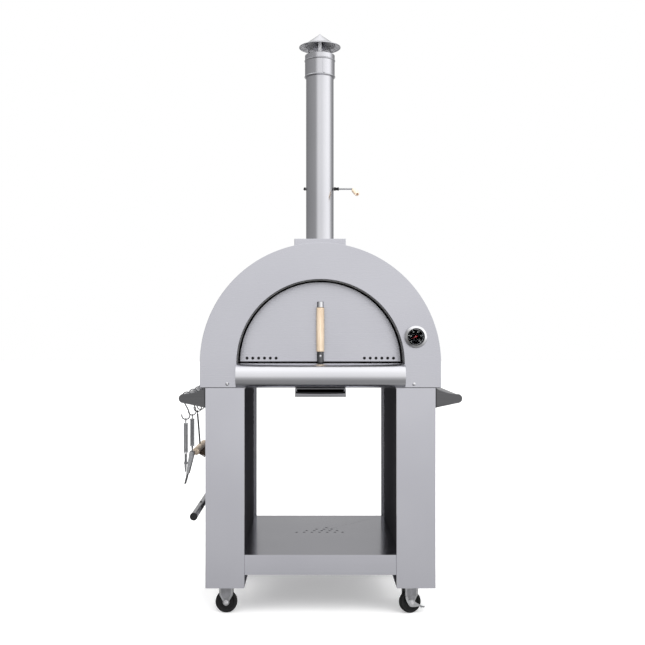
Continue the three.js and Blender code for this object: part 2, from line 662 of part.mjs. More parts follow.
function makeHandle(name, side) {
  const plates = [FRONT, REAR - PLATE].map((y) => plateXZ(bracketShape(), y, PLATE, 8));
  const tabs = [FRONT, REAR - HANDLE_TAB].map((y) => {
    return block(LEG_OUT + GAP, LEG_OUT + GAP + PLATE, y, y + HANDLE_TAB, HANDLE_BOTTOM, HANDLE_TOP);
  });
  const bar = rod(BAR_R, [BAR_X, FRONT + 1, BAR_Z], [BAR_X, REAR - 1, BAR_Z], 16);
  const right = join(...plates, ...tabs, bar);
  add(name, side > 0 ? right : right.mirror([1, 0, 0]), darkSteel());
}

function makeLowerRail() {
  const y0 = FRONT + 4;
  const y1 = REAR - 4;
  const bar = rod(BAR_R, [RAIL_X, y0, RAIL_Z], [RAIL_X, y1, RAIL_Z], 16);
  const caps = [[y0 - 3, y0 + 3], [y1 - 3, y1 + 3]].map(([a, b]) => {
    return rod(BAR_R + 0.8, [RAIL_X, a, RAIL_Z], [RAIL_X, b, RAIL_Z], 16);
  });
  const posts = [FRONT + 215, REAR - 215].map((y) => {
    return rod(6, [RAIL_X + 5, y, RAIL_Z], [-LEG_OUT - GAP, y, RAIL_Z]);
  });
  add('lower_rail', join(bar, ...caps, ...posts), chrome());
}

function hookPoints() {
  const points = [];
  const arc = (cx, cz, radius, from, to, count) => {
    for (let i = 0; i <= count; i += 1) {
      const angle = THREE.MathUtils.degToRad(from + ((to - from) * i) / count);
      points.push(new THREE.Vector3(cx + radius * Math.cos(angle), 0, cz + radius * Math.sin(angle)));
    }
  };
  arc(0, 0, HOOK_LOOP_R, -20, 205, 9);
  arc(HOOK_J_DX, HOOK_J_DZ, HOOK_J_R, 20, -195, 9);
  return points;
}

function makeHooks() {
  HOOK_DEPTHS.forEach((depth, i) => {
    add(`tool_hook_${i + 1}`, tube(hookPoints(), HOOK_WIRE_R, 24, 6), zinc(), -BAR_X, FRONT + depth, BAR_Z);
  });
}

// ---- tools ----
// Each tool hangs from the lowest point of its hook, which is its local origin.
function eyeRing() {
  const ring = turned([[4.6, -1.5], [8, -1.5], [8, 1.5], [4.6, 1.5], [4.6, -1.5]], 20);
  return ring.rotate([0, 90, 0]).translate([0, 0, -2.1]);
}

function toolHandle(width, length) {
  const bar = block(-width / 2, width / 2, -TOOL_HALF_T, TOOL_HALF_T, TOOL_TOP - length, TOOL_TOP);
  return join(eyeRing(), block(-1.5, 1.5, -4, 4, TOOL_TOP - 1, -8.5), bar);
}

function makeCutter() {
  const tines = [-1, 1].map((side) => {
    const near = side * 2;
    const far = side * 4;
    return block(Math.min(near, far), Math.max(near, far), -5, 5, CUTTER_WHEEL_Z - 5, -112);
  });
  const axle = rod(2, [-5, 0, CUTTER_WHEEL_Z], [5, 0, CUTTER_WHEEL_Z], 12);
  const y = FRONT + HOOK_DEPTHS[0];
  add('cutter_handle', join(toolHandle(15, 102), ...tines, axle), steel(), HANG_X, y, HANG_Z);
  const wheel = turned([[2.5, -1], [32, -1], [33, 0], [32, 1], [2.5, 1], [2.5, -1]]).rotate([0, 90, 0]);
  add('cutter_wheel', wheel, chrome(), HANG_X, y, HANG_Z + CUTTER_WHEEL_Z);
}

function makeScraper() {
  const holder = new THREE.Shape();
  holder.moveTo(-8, -132);
  holder.lineTo(-20, -213);
  holder.lineTo(-11, -214.5);
  holder.lineTo(9, -137);
  const blade = new THREE.Shape();
  blade.moveTo(-18, -210);
  blade.lineTo(-27.5, -250);
  blade.lineTo(-23, -251);
  blade.lineTo(-13, -211);
  const body = join(toolHandle(16, 100), rod(2.5, [0, 0, -110], [0, 0, -138]),
    plateXZ(holder, -22, 44), plateXZ(blade, -20, 40));
  add('scraper', body, steel(), HANG_X, FRONT + HOOK_DEPTHS[1], HANG_Z);
}

function makeBrush() {
  const stem = join(eyeRing(), rod(3, [0, 0, -8.5], [BRUSH_X, 0, BRUSH_Z]));
  const head = rod(BRUSH_R, [BRUSH_X, -BRUSH_HALF, BRUSH_Z], [BRUSH_X, BRUSH_HALF, BRUSH_Z], 16);
  const bristles = new THREE.BoxGeometry(12, 2 * BRUSH_HALF - 20, 40);
  bristles.translate(0, 0, -20);
  bristles.rotateY(BRISTLE_LEAN);
  bristles.translate(BRUSH_X, 0, BRUSH_Z);
  add('oven_brush', join(stem, head, solid(bristles)), wood(), HANG_X, FRONT + HOOK_DEPTHS[2], HANG_Z);
}

makeOvenBody();
makeVault();
makeDoorSeal();
makeLandingLip();
makeBasePan();
makeDrawer();
makeDoor();
makeFlue();
makeDamper();
makeGauge();
makeCart();
makeCasters();
makeHandle('side_handle_left', -1);
makeHandle('side_handle_right', 1);
makeLowerRail();
makeHooks();
makeCutter();
makeScraper();
makeBrush();

export default oven;
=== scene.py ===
import json
import math

import bmesh
import bpy
from mathutils import Matrix, Vector


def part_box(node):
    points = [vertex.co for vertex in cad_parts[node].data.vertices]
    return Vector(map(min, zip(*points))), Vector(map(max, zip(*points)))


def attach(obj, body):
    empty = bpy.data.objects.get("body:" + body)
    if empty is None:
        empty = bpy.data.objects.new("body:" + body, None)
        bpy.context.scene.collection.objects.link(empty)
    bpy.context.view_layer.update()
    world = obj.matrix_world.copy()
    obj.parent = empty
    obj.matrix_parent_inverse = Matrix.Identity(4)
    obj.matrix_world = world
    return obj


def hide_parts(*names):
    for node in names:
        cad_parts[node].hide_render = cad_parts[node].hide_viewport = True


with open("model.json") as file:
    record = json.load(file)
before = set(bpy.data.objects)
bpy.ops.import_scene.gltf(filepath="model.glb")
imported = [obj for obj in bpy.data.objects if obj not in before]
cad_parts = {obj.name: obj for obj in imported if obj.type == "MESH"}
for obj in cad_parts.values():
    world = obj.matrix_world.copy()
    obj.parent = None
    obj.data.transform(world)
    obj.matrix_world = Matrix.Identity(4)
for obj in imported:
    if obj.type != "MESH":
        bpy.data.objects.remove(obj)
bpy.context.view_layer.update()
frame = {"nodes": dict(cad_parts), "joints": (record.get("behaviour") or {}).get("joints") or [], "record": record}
NODES = frame["nodes"]
BODY_OF = {node: body for body, nodes in frame["record"]["behaviour"]["bodies"].items() for node in nodes}
JOINTS = {joint["name"]: joint for joint in frame["joints"]}
ROUND = 96
HALF_TURN = math.pi
SCRATCH_DEPTH = 0.000008
SHEET = 0.0025
TUBE_R = 0.0125
DOOR_SHEET = 0.002
DOOR_VENT_R = 0.005
DOOR_VENT_X, DOOR_VENT_STEP = 0.153, 0.0202
DOOR_FOOT_X = 0.195
HANDLE_SHEET = 0.003
HANDLE_TIP_R, HANDLE_TIP_Z = 0.015, 0.738
SHELF_VENT_R, SHELF_VENT_DEPTH = 0.0055, 0.009
HOOK_WIRE_R, HOOK_LOOP_R, HOOK_FOOT_R, HOOK_FOOT_Z = 0.002, 0.016, 0.014, -0.065
HOOK_DROP = 0.014
CUTTER_WHEEL_R, CUTTER_WHEEL_Z = 0.0325, -0.151
BRUSH_R, BRUSH_HALF, BRUSH_LEAN = 0.014, 0.130, -1.1
BRISTLE_ROWS, BRISTLE_STEPS, BRISTLE_PITCH = (-1, 0, 1), 34, 0.007
WHEEL_R, WHEEL_HALF, TYRE_CORNER = 0.0375, 0.012, 0.006
CAMERA_X, CAMERA_AWAY, CAMERA_Z = -0.0286, 3.168, 0.952
CAMERA_LENS, SHIFT_X, SHIFT_Y = 52.47, 0.0163, 0.0194


# ---------------------------------------------------------------- places from the frame
def low(node):
    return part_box(node)[0]


def high(node):
    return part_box(node)[1]


def middle(node):
    return (low(node) + high(node)) / 2


FRONT = low("front_facade").y
REAR = high("rear_panel").y
FACADE_R = high("front_facade").x
ARCH_Z = high("front_facade").z - FACADE_R
FACADE_BOTTOM = low("front_facade").z
OPENING_R = high("arch_lining").x - 0.0029
TO_FLUE = Matrix.Translation((0, middle("flue_pipe").y, 0))


# ---------------------------------------------------------------- node materials
def shader(name):
    material = bpy.data.materials.new(name)
    material.use_nodes = True
    tree = material.node_tree
    return material, tree, tree.nodes["Principled BSDF"]


def add_node(tree, kind, **values):
    node = tree.nodes.new(kind)
    for key, value in values.items():
        if key in node.inputs:
            node.inputs[key].default_value = value
        else:
            setattr(node, key, value)
    return node


def texture(tree, kind, stretch, **values):
    """A texture in the object's own metres, stretched by a vector."""
    place = add_node(tree, "ShaderNodeTexCoord")
    scale = add_node(tree, "ShaderNodeMapping")
    scale.inputs["Scale"].default_value = stretch
    tree.links.new(place.outputs["Object"], scale.inputs["Vector"])
    node = add_node(tree, kind, Scale=1.0, **values)
    tree.links.new(scale.outputs["Vector"], node.inputs["Vector"])
    return node


def noise(tree, stretch, **values):
    """Noise in metres: one number stretches it the same every way, three numbers by axis."""
    if not hasattr(stretch, "__len__"):
        stretch = (stretch,) * 3
    return texture(tree, "ShaderNodeTexNoise", stretch, **values).outputs["Fac"]


def ramp(tree, source, stops):
    node = add_node(tree, "ShaderNodeValToRGB")
    elements = node.color_ramp.elements
    while len(elements) < len(stops):
        elements.new(0.5)
    for element, (at, colour) in zip(elements, stops):
        element.position = at
        element.color = (*colour, 1) if len(colour) == 3 else colour
    tree.links.new(source, node.inputs["Fac"])
    return node.outputs["Color"]


def blend(tree, factor, a, b, mode="MIX"):
    node = add_node(tree, "ShaderNodeMix", data_type="RGBA", blend_type=mode)
    if hasattr(factor, "is_linked"):
        tree.links.new(factor, node.inputs[0])
    else:
        node.inputs[0].default_value = factor
    for socket, value in ((node.inputs[6], a), (node.inputs[7], b)):
        if hasattr(value, "is_linked"):
            tree.links.new(value, socket)
        else:
            socket.default_value = (*value, 1)
    return node.outputs[2]


def bump(tree, bsdf, height, distance, strength=1.0, under=None):
    node = add_node(tree, "ShaderNodeBump", Strength=strength, Distance=distance)
    tree.links.new(height, node.inputs["Height"])
    if under is not None:
        tree.links.new(under, node.inputs["Normal"])
    tree.links.new(node.outputs["Normal"], bsdf.inputs["Normal"])
    return node.outputs["Normal"]


def span(tree, source, low_value, high_value):
    node = add_node(tree, "ShaderNodeMapRange")
    node.inputs["From Min"].default_value = 0.3
    node.inputs["From Max"].default_value = 0.7
    node.inputs["To Min"].default_value = low_value
    node.inputs["To Max"].default_value = high_value
    tree.links.new(source, node.inputs["Value"])
    return node.outputs["Result"]


def paint(tree, bsdf, source):
    tree.links.new(source, bsdf.inputs["Base Color"])


def roughen(tree, bsdf, source, least, most):
    tree.links.new(span(tree, source, least, most), bsdf.inputs["Roughness"])


def brushed(name, colour, roughness, grain, anisotropy=0.0, cloud=0.02, metallic=1.0):
    """Brushed sheet: long fine scratches along the grain, broad soft clouds and a few deeper scratches."""
    material, tree, bsdf = shader(name)
    fine = noise(tree, grain, Detail=6.0, Roughness=0.7)
    broad = noise(tree, 3, Detail=3.0)
    deep = noise(tree, [value * 0.23 for value in grain], Detail=2.0)
    dark = [v * (1 - cloud) for v in colour]
    light = [min(1.0, v * (1 + cloud)) for v in colour]
    streaks = ramp(tree, fine, [(0.3, dark), (0.7, light)])
    clouds = ramp(tree, broad, [(0.35, (0.95, 0.95, 0.955)), (0.65, (1.0, 1.0, 1.0))])
    paint(tree, bsdf, blend(tree, 1.0, streaks, clouds, "MULTIPLY"))
    roughen(tree, bsdf, fine, roughness - 0.03, roughness + 0.03)
    bsdf.inputs["Metallic"].default_value = metallic
    bsdf.inputs["Specular IOR Level"].default_value = 0.5 * metallic
    bsdf.inputs["Anisotropic"].default_value = anisotropy
    first = bump(tree, bsdf, fine, SCRATCH_DEPTH, 0.6)
    bump(tree, bsdf, deep, SCRATCH_DEPTH * 2, 0.3, first)
    return material


def polished(name, colour, roughness=0.1):
    material, tree, bsdf = shader(name)
    smear = noise(tree, 18, Detail=5.0)
    fine = noise(tree, 400, Detail=2.0)
    shade = ramp(tree, smear, [(0.3, [v * 0.93 for v in colour]), (0.7, colour)])
    paint(tree, bsdf, shade)
    roughen(tree, bsdf, smear, roughness * 0.6, roughness * 1.6)
    bsdf.inputs["Metallic"].default_value = 1.0
    bump(tree, bsdf, fine, 0.00001, 0.4)
    return material


def zinc_plate(name, colour, metallic=0.9):
    """Zinc plating with its small crystal patches and dull spots."""
    material, tree, bsdf = shader(name)
    crystals = texture(tree, "ShaderNodeTexVoronoi", (220, 220, 220))
    dull = noise(tree, 60, Detail=6.0)
    patches = ramp(tree, crystals.outputs["Color"],
                   [(0.1, [v * 0.86 for v in colour]), (0.9, [v * 1.12 for v in colour])])
    stains = ramp(tree, dull, [(0.35, (0.8, 0.8, 0.79)), (0.6, (1, 1, 1))])
    paint(tree, bsdf, blend(tree, 1.0, patches, stains, "MULTIPLY"))
    roughen(tree, bsdf, dull, 0.3, 0.48)
    bsdf.inputs["Metallic"].default_value = metallic
    bump(tree, bsdf, dull, 0.00008, 0.5)
    return material


def turned_wood(name, along, tint=(1, 1, 1)):
    """Beech: growth lines, short dark flecks and slightly raised grain, its colour multiplied by the tint; a tint
    below 1 darkens it and a tint above 1 paints light onto it.
    """
    material, tree, bsdf = shader(name)
    rings = noise(tree, along, Detail=5.0, Distortion=0.6)
    flecks = noise(tree, [v * 5 for v in along], Detail=2.0)
    grown = ramp(tree, rings, [(0.28, (0.47, 0.355, 0.24)), (0.5, (0.58, 0.465, 0.345)),
                                               (0.72, (0.65, 0.55, 0.43))])
    dots = ramp(tree, flecks, [(0.27, (0.72, 0.62, 0.5)), (0.36, (1, 1, 1))])
    worn = blend(tree, 0.8, grown, dots, "MULTIPLY")
    paint(tree, bsdf, blend(tree, 1.0, worn, tint, "MULTIPLY"))
    roughen(tree, bsdf, rings, 0.42, 0.58)
    bsdf.inputs["Coat Weight"].default_value = 0.12
    bsdf.inputs["Coat Roughness"].default_value = 0.3
    bump(tree, bsdf, flecks, 0.00012, 0.5)
    return material


def rubber_black(name, colour=(0.006, 0.006, 0.0065), roughness=0.55):
    material, tree, bsdf = shader(name)
    fine = noise(tree, 900, Detail=3.0)
    dust = noise(tree, 45, Detail=6.0)
    shade = ramp(tree, dust, [(0.45, colour), (0.8, [v * 2 + 0.003 for v in colour])])
    bsdf.inputs["Specular IOR Level"].default_value = 0.22
    paint(tree, bsdf, shade)
    roughen(tree, bsdf, dust, roughness - 0.1, roughness + 0.15)
    bump(tree, bsdf, fine, 0.00008, 0.6)
    return material


def enamel(name, colour, roughness=0.3, shine=0.5):
    material, tree, bsdf = shader(name)
    bsdf.inputs["Specular IOR Level"].default_value = shine
    peel = noise(tree, 500, Detail=2.0)
    tint = noise(tree, 25, Detail=3.0)
    shade = ramp(tree, tint, [(0.3, [v * 0.85 for v in colour]), (0.7, colour)])
    paint(tree, bsdf, shade)
    roughen(tree, bsdf, tint, roughness - 0.05, roughness + 0.08)
    bump(tree, bsdf, peel, 0.00004, 0.4)
    return material


def firebrick(name):
    material, tree, bsdf = shader(name)
    grit = noise(tree, 260, Detail=8.0, Roughness=0.7)
    stain = noise(tree, 7, Detail=5.0)
    body = ramp(tree, grit, [(0.3, (0.40, 0.31, 0.22)), (0.7, (0.62, 0.52, 0.40))])
    soot = ramp(tree, stain, [(0.35, (0.45, 0.42, 0.4)), (0.6, (1, 1, 1))])
    paint(tree, bsdf, blend(tree, 0.7, body, soot, "MULTIPLY"))
    bsdf.inputs["Roughness"].default_value = 0.9
    bump(tree, bsdf, grit, 0.0006, 0.6)
    return material


def ceramic_fibre(name, colour=(0.60, 0.565, 0.49)):
    material, tree, bsdf = shader(name)
    weave = texture(tree, "ShaderNodeTexWave", (300, 300, 300), Distortion=3.0)
    fuzz = noise(tree, 500, Detail=5.0)
    shade = ramp(tree, weave.outputs["Fac"], [(0.2, [v * 0.6 for v in colour]), (0.8, colour)])
    paint(tree, bsdf, shade)
    bsdf.inputs["Roughness"].default_value = 0.95
    bsdf.inputs["Sheen Weight"].default_value = 0.3
    bump(tree, bsdf, fuzz, 0.0004, 0.7)
    return material


def clear_glass(name):
    material, tree, bsdf = shader(name)
    smear = noise(tree, 60, Detail=4.0)
    bsdf.inputs["Base Color"].default_value = (0.97, 0.99, 1.0, 1)
    bsdf.inputs["Transmission Weight"].default_value = 1.0
    bsdf.inputs["IOR"].default_value = 1.02
    roughen(tree, bsdf, smear, 0.0, 0.04)
    return material


STEEL = (0.585, 0.585, 0.63)
ALONG_X = (1.5, 520, 520)
ALONG_Y = (520, 1.5, 520)
ALONG_Z = (520, 520, 1.5)
SHEET_X = brushed("stainless_along_x", STEEL, 0.26, ALONG_X)
SHEET_Y = brushed("stainless_along_y", STEEL, 0.26, ALONG_Y)
SHEET_Z = brushed("stainless_along_z", STEEL, 0.24, ALONG_Z)
SHELF_STEEL = brushed("stainless_shelf", STEEL, 0.16, ALONG_X)
# Near-black, non-metal sheet for the cart's inner side walls: painted shade that stands in for the dark
# reflections deep inside the cart.
PAINTED_SHADE_WALL_STEEL = brushed("inner_wall_painted_shade", (0.048, 0.047, 0.052), 0.5, ALONG_Z, cloud=0.2, metallic=0.0)
FLUE_STEEL = brushed("stainless_flue", (0.62, 0.62, 0.65), 0.2, ALONG_Z, anisotropy=0.2)
# Lighter copy of the stainless for the landing lip: painted light that makes the lip read white.
LIP_STEEL_PAINTED_LIGHT = brushed("stainless_lip_painted_light", (0.72, 0.72, 0.75), 0.24, ALONG_X)
HOOK_STEEL = polished("blued_wire", (0.16, 0.16, 0.17), 0.25)
# Darker grey copy of the stainless for the ash drawer: painted shade from the lip above it.
DRAWER_STEEL_PAINTED_SHADE = brushed("drawer_steel_painted_shade", (0.27, 0.27, 0.285), 0.3, ALONG_X, cloud=0.08)
DARK_STEEL = brushed("dark_satin_steel", (0.15, 0.15, 0.155), 0.42, ALONG_X, cloud=0.12)
# Darker, duller copy of the stainless for the arch lining.
LINING_STEEL = brushed("darker_lining_steel", (0.30, 0.30, 0.31), 0.5, ALONG_Y, cloud=0.08)
SOOTED = brushed("sooted_steel", (0.10, 0.095, 0.09), 0.55, ALONG_Y, cloud=0.25)
CHROME = polished("polished_steel", (0.74, 0.74, 0.76))
BAR_CHROME = polished("bright_tube", (0.68, 0.68, 0.71), 0.16)
ZINC = zinc_plate("zinc_plating", (0.46, 0.465, 0.48))
PALE_ZINC = zinc_plate("pale_dull_zinc", (0.42, 0.42, 0.44), 0.2)
# Darker, duller copy of the zinc: painted shade for the recess in each caster fork and under the rain cap.
PAINTED_SHADE_ZINC = zinc_plate("zinc_painted_shade", (0.22, 0.22, 0.235), 0.35)
END_GRAIN = turned_wood("end_grain", (400, 400, 400), (0.42, 0.30, 0.27))
RUBBER = rubber_black("black_tread")
PLUG = rubber_black("black_plastic_plug", (0.008, 0.008, 0.009), 0.35)
WOOD_Z = turned_wood("beech_upright", (180, 180, 9))
# Lengthwise beech for the brush block and damper grip, tinted above 1: painted light on wood that the lamps leave
# too dark.
WOOD_Y_PAINTED_LIGHT = turned_wood("beech_lengthwise_painted_light", (180, 9, 180), (1.3, 1.33, 1.38))
STONE = firebrick("firebrick")
FIBRE = ceramic_fibre("ceramic_fibre")
ROPE = ceramic_fibre("seal_rope", (0.085, 0.085, 0.085))
BLACK = enamel("black_enamel", (0.008, 0.008, 0.009), 0.4, 0.2)
DIAL_BLACK = enamel("dial_black", (0.004, 0.004, 0.005), 0.7, 0.03)
WHITE = enamel("dial_white", (0.82, 0.82, 0.80), 0.4)
RED = enamel("needle_red", (0.34, 0.012, 0.016))
GLASS = clear_glass("gauge_glass")
BRISTLE = ceramic_fibre("dark_bristle", (0.085, 0.05, 0.028))


# ---------------------------------------------------------------- mesh tools
def link(piece):
    bpy.context.scene.collection.objects.link(piece)


def finish_mesh(name, mesh, material, body, angle=32):
    mesh.materials.clear()
    mesh.materials.append(material)
    mesh.shade_smooth()
    mesh.set_sharp_from_angle(angle=math.radians(angle))
    piece = bpy.data.objects.new(name, mesh)
    link(piece)
    smooth = piece.modifiers.new("normals", "WEIGHTED_NORMAL")
    smooth.keep_sharp = True
    smooth.weight = 90
    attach(piece, body)
    return piece


def mesh_of(work, name="piece"):
    bmesh.ops.remove_doubles(work, verts=work.verts, dist=1e-6)
    bmesh.ops.recalc_face_normals(work, faces=work.faces)
    mesh = bpy.data.meshes.new(name)
    work.to_mesh(mesh)
    work.free()
    return mesh


def merged(*meshes):
    work = bmesh.new()
    for mesh in meshes:
        work.from_mesh(mesh)
    mesh = bpy.data.meshes.new("joined")
    work.to_mesh(mesh)
    work.free()
    return mesh


def moved(mesh, matrix):
    mesh.transform(matrix)
    if matrix.determinant() < 0:
        mesh.flip_normals()
    return mesh


def curve_mesh(curve):
    """The mesh of a curve, with its seams welded."""
    holder = bpy.data.objects.new("curve", curve)
    link(holder)
    graph = bpy.context.evaluated_depsgraph_get()
    raw = bpy.data.meshes.new_from_object(holder.evaluated_get(graph))
    bpy.data.objects.remove(holder)
    work = bmesh.new()
    work.from_mesh(raw)
    bmesh.ops.remove_doubles(work, verts=work.verts, dist=2e-6)
    bmesh.ops.dissolve_degenerate(work, edges=work.edges, dist=1e-7)
    return mesh_of(work)


def flat(loops, thickness, bevel=0.0006):
    """A plate in x and y, centred on z = 0, with rounded edges: the outline first, then its holes."""
    curve = bpy.data.curves.new("outline", "CURVE")
    curve.dimensions = "2D"
    curve.fill_mode = "BOTH"
    for loop in loops:
        spline = curve.splines.new("POLY")
        spline.points.add(len(loop) - 1)
        for point, (x, y) in zip(spline.points, loop):
            point.co = (x, y, 0, 1)
        spline.use_cyclic_u = True
    curve.extrude = thickness / 2 - bevel
    curve.bevel_depth = bevel
    curve.bevel_resolution = 2
    curve.offset = -bevel
    return curve_mesh(curve)


UPRIGHT = Matrix(((1, 0, 0, 0), (0, 0, -1, 0), (0, 1, 0, 0), (0, 0, 0, 1)))
SIDEWAYS = Matrix(((0, 0, 1, 0), (1, 0, 0, 0), (0, 1, 0, 0), (0, 0, 0, 1)))


def upright(loops, y0, y1, bevel=0.0006):
    """A plate drawn in x and z that reaches from y0 to y1."""
    mesh = flat(loops, y1 - y0, bevel)
    return moved(mesh, Matrix.Translation((0, (y0 + y1) / 2, 0)) @ UPRIGHT)


def sideways(loops, x0, x1, bevel=0.0006):
    """A plate drawn in y and z that reaches from x0 to x1."""
    mesh = flat(loops, x1 - x0, bevel)
    return moved(mesh, Matrix.Translation(((x0 + x1) / 2, 0, 0)) @ SIDEWAYS)


def level(loops, z0, z1, bevel=0.0006):
    mesh = flat(loops, z1 - z0, bevel)
    return moved(mesh, Matrix.Translation((0, 0, (z0 + z1) / 2)))


def lathe(profile, segments=ROUND):
    """A profile of (radius, height) pairs turned about Z. Radius 0 makes a pole."""
    work = bmesh.new()
    rows = []
    for radius, height in profile:
        if radius < 1e-7:
            rows.append([work.verts.new((0, 0, height))] * segments)
            continue
        angles = [2 * HALF_TURN * i / segments for i in range(segments)]
        rows.append([work.verts.new((radius * math.cos(a), radius * math.sin(a), height)) for a in angles])
    for first, second in zip(rows, rows[1:]):
        for i in range(segments):
            j = (i + 1) % segments
            corners = list(dict.fromkeys((first[i], first[j], second[j], second[i])))
            if len(corners) > 2:
                work.faces.new(corners)
    return mesh_of(work)


def sweep(points, radius, sides=10, cyclic=False):
    """A round rod along a smooth path of points."""
    curve = bpy.data.curves.new("path", "CURVE")
    curve.dimensions = "3D"
    spline = curve.splines.new("POLY")
    spline.points.add(len(points) - 1)
    for point, place in zip(spline.points, points):
        point.co = (*place, 1)
    spline.use_cyclic_u = cyclic
    curve.bevel_depth = radius
    curve.bevel_resolution = max(1, sides // 4)
    curve.use_fill_caps = True
    return curve_mesh(curve)


def facing(direction, place=(0, 0, 0)):
    """Turns +Z to a direction and moves to a place."""
    turn = Vector(direction).to_track_quat("Z", "Y").to_matrix().to_4x4()
    return Matrix.Translation(place) @ turn


def rounded_box(x0, x1, y0, y1, z0, z1, bevel=0.001):
    work = bmesh.new()
    bmesh.ops.create_cube(work, size=1)
    for vert in work.verts:
        vert.co = (x0 + (x1 - x0) * (vert.co.x + 0.5), y0 + (y1 - y0) * (vert.co.y + 0.5),
                   z0 + (z1 - z0) * (vert.co.z + 0.5))
    bmesh.ops.bevel(work, geom=work.edges, offset=bevel, segments=3, profile=0.5, affect="EDGES")
    return mesh_of(work)


def arc(cx, cy, radius, start, end, count=ROUND):
    """Points on an arc, angles in degrees."""
    points = []
    for i in range(count + 1):
        angle = math.radians(start + (end - start) * i / count)
        points.append((cx + radius * math.cos(angle), cy + radius * math.sin(angle)))
    return points


def circle(cx, cy, radius, count=20):
    return arc(cx, cy, radius, 0, 360, count)[:-1]


def arched(radius, bottom):
    return [(radius, bottom), *arc(0, ARCH_Z, radius, 0, 180), (-radius, bottom)]


def arch_ring(outer, inner, bottom):
    """One outline of an arched band: up round the outside and back round the inside."""
    return [*arched(outer, bottom), *reversed(arched(inner, bottom))]


def screw_heads(places, direction, radius=0.0062, height=0.0035):
    """Domed screw heads with a cross recess, as one mesh."""
    profile = [(0, height * 0.99), (radius * 0.25, height), (radius * 0.6, height * 0.9),
               (radius * 0.88, height * 0.5), (radius, height * 0.12), (radius, 0), (0, 0)]
    heads = []
    for i, place in enumerate(places):
        head = moved(lathe(profile, 28), facing(direction, place))
        arm, half, span_z = radius * 0.5, 0.0005, (height * 0.9, height + 0.0001)
        cross = [rounded_box(-arm, arm, -half, half, *span_z, 0.0002),
                 rounded_box(-half, half, -arm, arm, *span_z, 0.0002)]
        turn = Matrix.Rotation(0.7 * i + 0.4, 4, "Z")
        heads.append(head)
        heads.extend(moved(bar, facing(direction, place) @ turn) for bar in cross)
    return merged(*heads)


def dress(node, material, bevel=0.0008):
    """A CAD node kept as it is, with welded, rounded and smoothly shaded edges."""
    piece = NODES[node]
    piece.data.materials.clear()
    piece.data.materials.append(material)
    piece.data.shade_smooth()
    weld = piece.modifiers.new("weld", "WELD")
    weld.merge_threshold = 0.00001
    if bevel:
        edge = piece.modifiers.new("edges", "BEVEL")
        edge.width = bevel
        edge.segments = 2
        edge.limit_method = "ANGLE"
        edge.angle_limit = math.radians(40)
        edge.harden_normals = False
    smooth = piece.modifiers.new("normals", "WEIGHTED_NORMAL")
    smooth.keep_sharp = True
    return piece


def make(name, mesh, material, node, angle=32, replace=True):
    """A piece that rides with a CAD node's body and, unless told not to, stands for it."""
    piece = finish_mesh(name, mesh, material, BODY_OF[node], angle)
    if replace:
        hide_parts(node)


# ---------------------------------------------------------------- oven body
def make_facade():
    mesh = upright([arch_ring(FACADE_R, OPENING_R, FACADE_BOTTOM)], FRONT, high("front_facade").y, 0.0009)
    make("facade_sheet", mesh, SHEET_X, "front_facade")
    z = FACADE_BOTTOM + 0.012
    x = (FACADE_R + OPENING_R) / 2 - 0.031
    heads = screw_heads([(-x, FRONT, z), (x + 0.001, FRONT, z)], (0, -1, 0))
    make("facade_screws", heads, CHROME, "front_facade", replace=False)


def make_shell():
    lo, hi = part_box("outer_shell")
    radius = hi.x
    sheet = upright([arch_ring(radius, radius - SHEET, lo.z)], lo.y, hi.y, 0.0005)
    make("shell_sheet", sheet, SHEET_Y, "outer_shell")
    seam = []
    for y in (lo.y + 0.022, hi.y - 0.022):
        for side in (-1, 1):
            for step in range(3):
                seam.append((side * radius, y, lo.z + 0.018 + 0.03 * step))
    left = screw_heads([place for place in seam if place[0] < 0], (-1, 0, 0), 0.005, 0.0018)
    right = screw_heads([place for place in seam if place[0] > 0], (1, 0, 0), 0.005, 0.0018)
    make("shell_screws", merged(left, right), CHROME, "outer_shell", replace=False)


def make_rear():
    lo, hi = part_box("rear_panel")
    radius = hi.x
    plate = upright([arched(radius, lo.z)], lo.y + 0.0006, hi.y - 0.0006, 0.0006)
    hem = upright([arch_ring(radius, radius - 0.012, lo.z)], lo.y, hi.y, 0.0006)
    make("rear_sheet", merged(plate, hem), SHEET_X, "rear_panel")
    places = []
    for step in range(9):
        angle = math.radians(10 + 20 * step)
        reach = radius - 0.026
        places.append((reach * math.cos(angle), hi.y - 0.0006, ARCH_Z + reach * math.sin(angle)))
    heads = screw_heads(places, (0, 1, 0), 0.005, 0.0006)
    make("rear_screws", heads, CHROME, "rear_panel", replace=False)


def make_lining():
    lo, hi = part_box("arch_lining")
    mesh = upright([arch_ring(hi.x, hi.x - SHEET, lo.z)], lo.y, hi.y, 0.0004)
    make("lining_sheet", mesh, LINING_STEEL, "arch_lining")


def make_seal():
    """A rope of two strands laid round the opening."""
    lo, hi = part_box("door_seal")
    thick = (hi.y - lo.y) / 2
    centre_r = hi.x - thick
    y = (lo.y + hi.y) / 2
    steps, sides, pitch = 560, 14, 0.0225
    work = bmesh.new()
    rows = []
    for i in range(steps + 1):
        bend = 0.012 + (HALF_TURN - 0.024) * i / steps
        along = centre_r * bend
        out = Vector((math.cos(bend), 0, math.sin(bend)))
        row = []
        for j in range(sides):
            angle = 2 * HALF_TURN * j / sides
            lobe = 0.66 + 0.24 * math.cos(2 * angle + 2 * HALF_TURN * along / (pitch / 2))
            offset = out * math.cos(angle) + Vector((0, 1, 0)) * math.sin(angle)
            row.append(work.verts.new(out * centre_r + Vector((0, y, ARCH_Z)) + offset * thick * lobe))
        rows.append(row)
    for first, second in zip(rows, rows[1:]):
        for j in range(sides):
            k = (j + 1) % sides
            work.faces.new((first[j], first[k], second[k], second[j]))
    work.faces.new(rows[0])
    work.faces.new(list(reversed(rows[-1])))
    make("seal_rope", mesh_of(work), ROPE, "door_seal", 60)


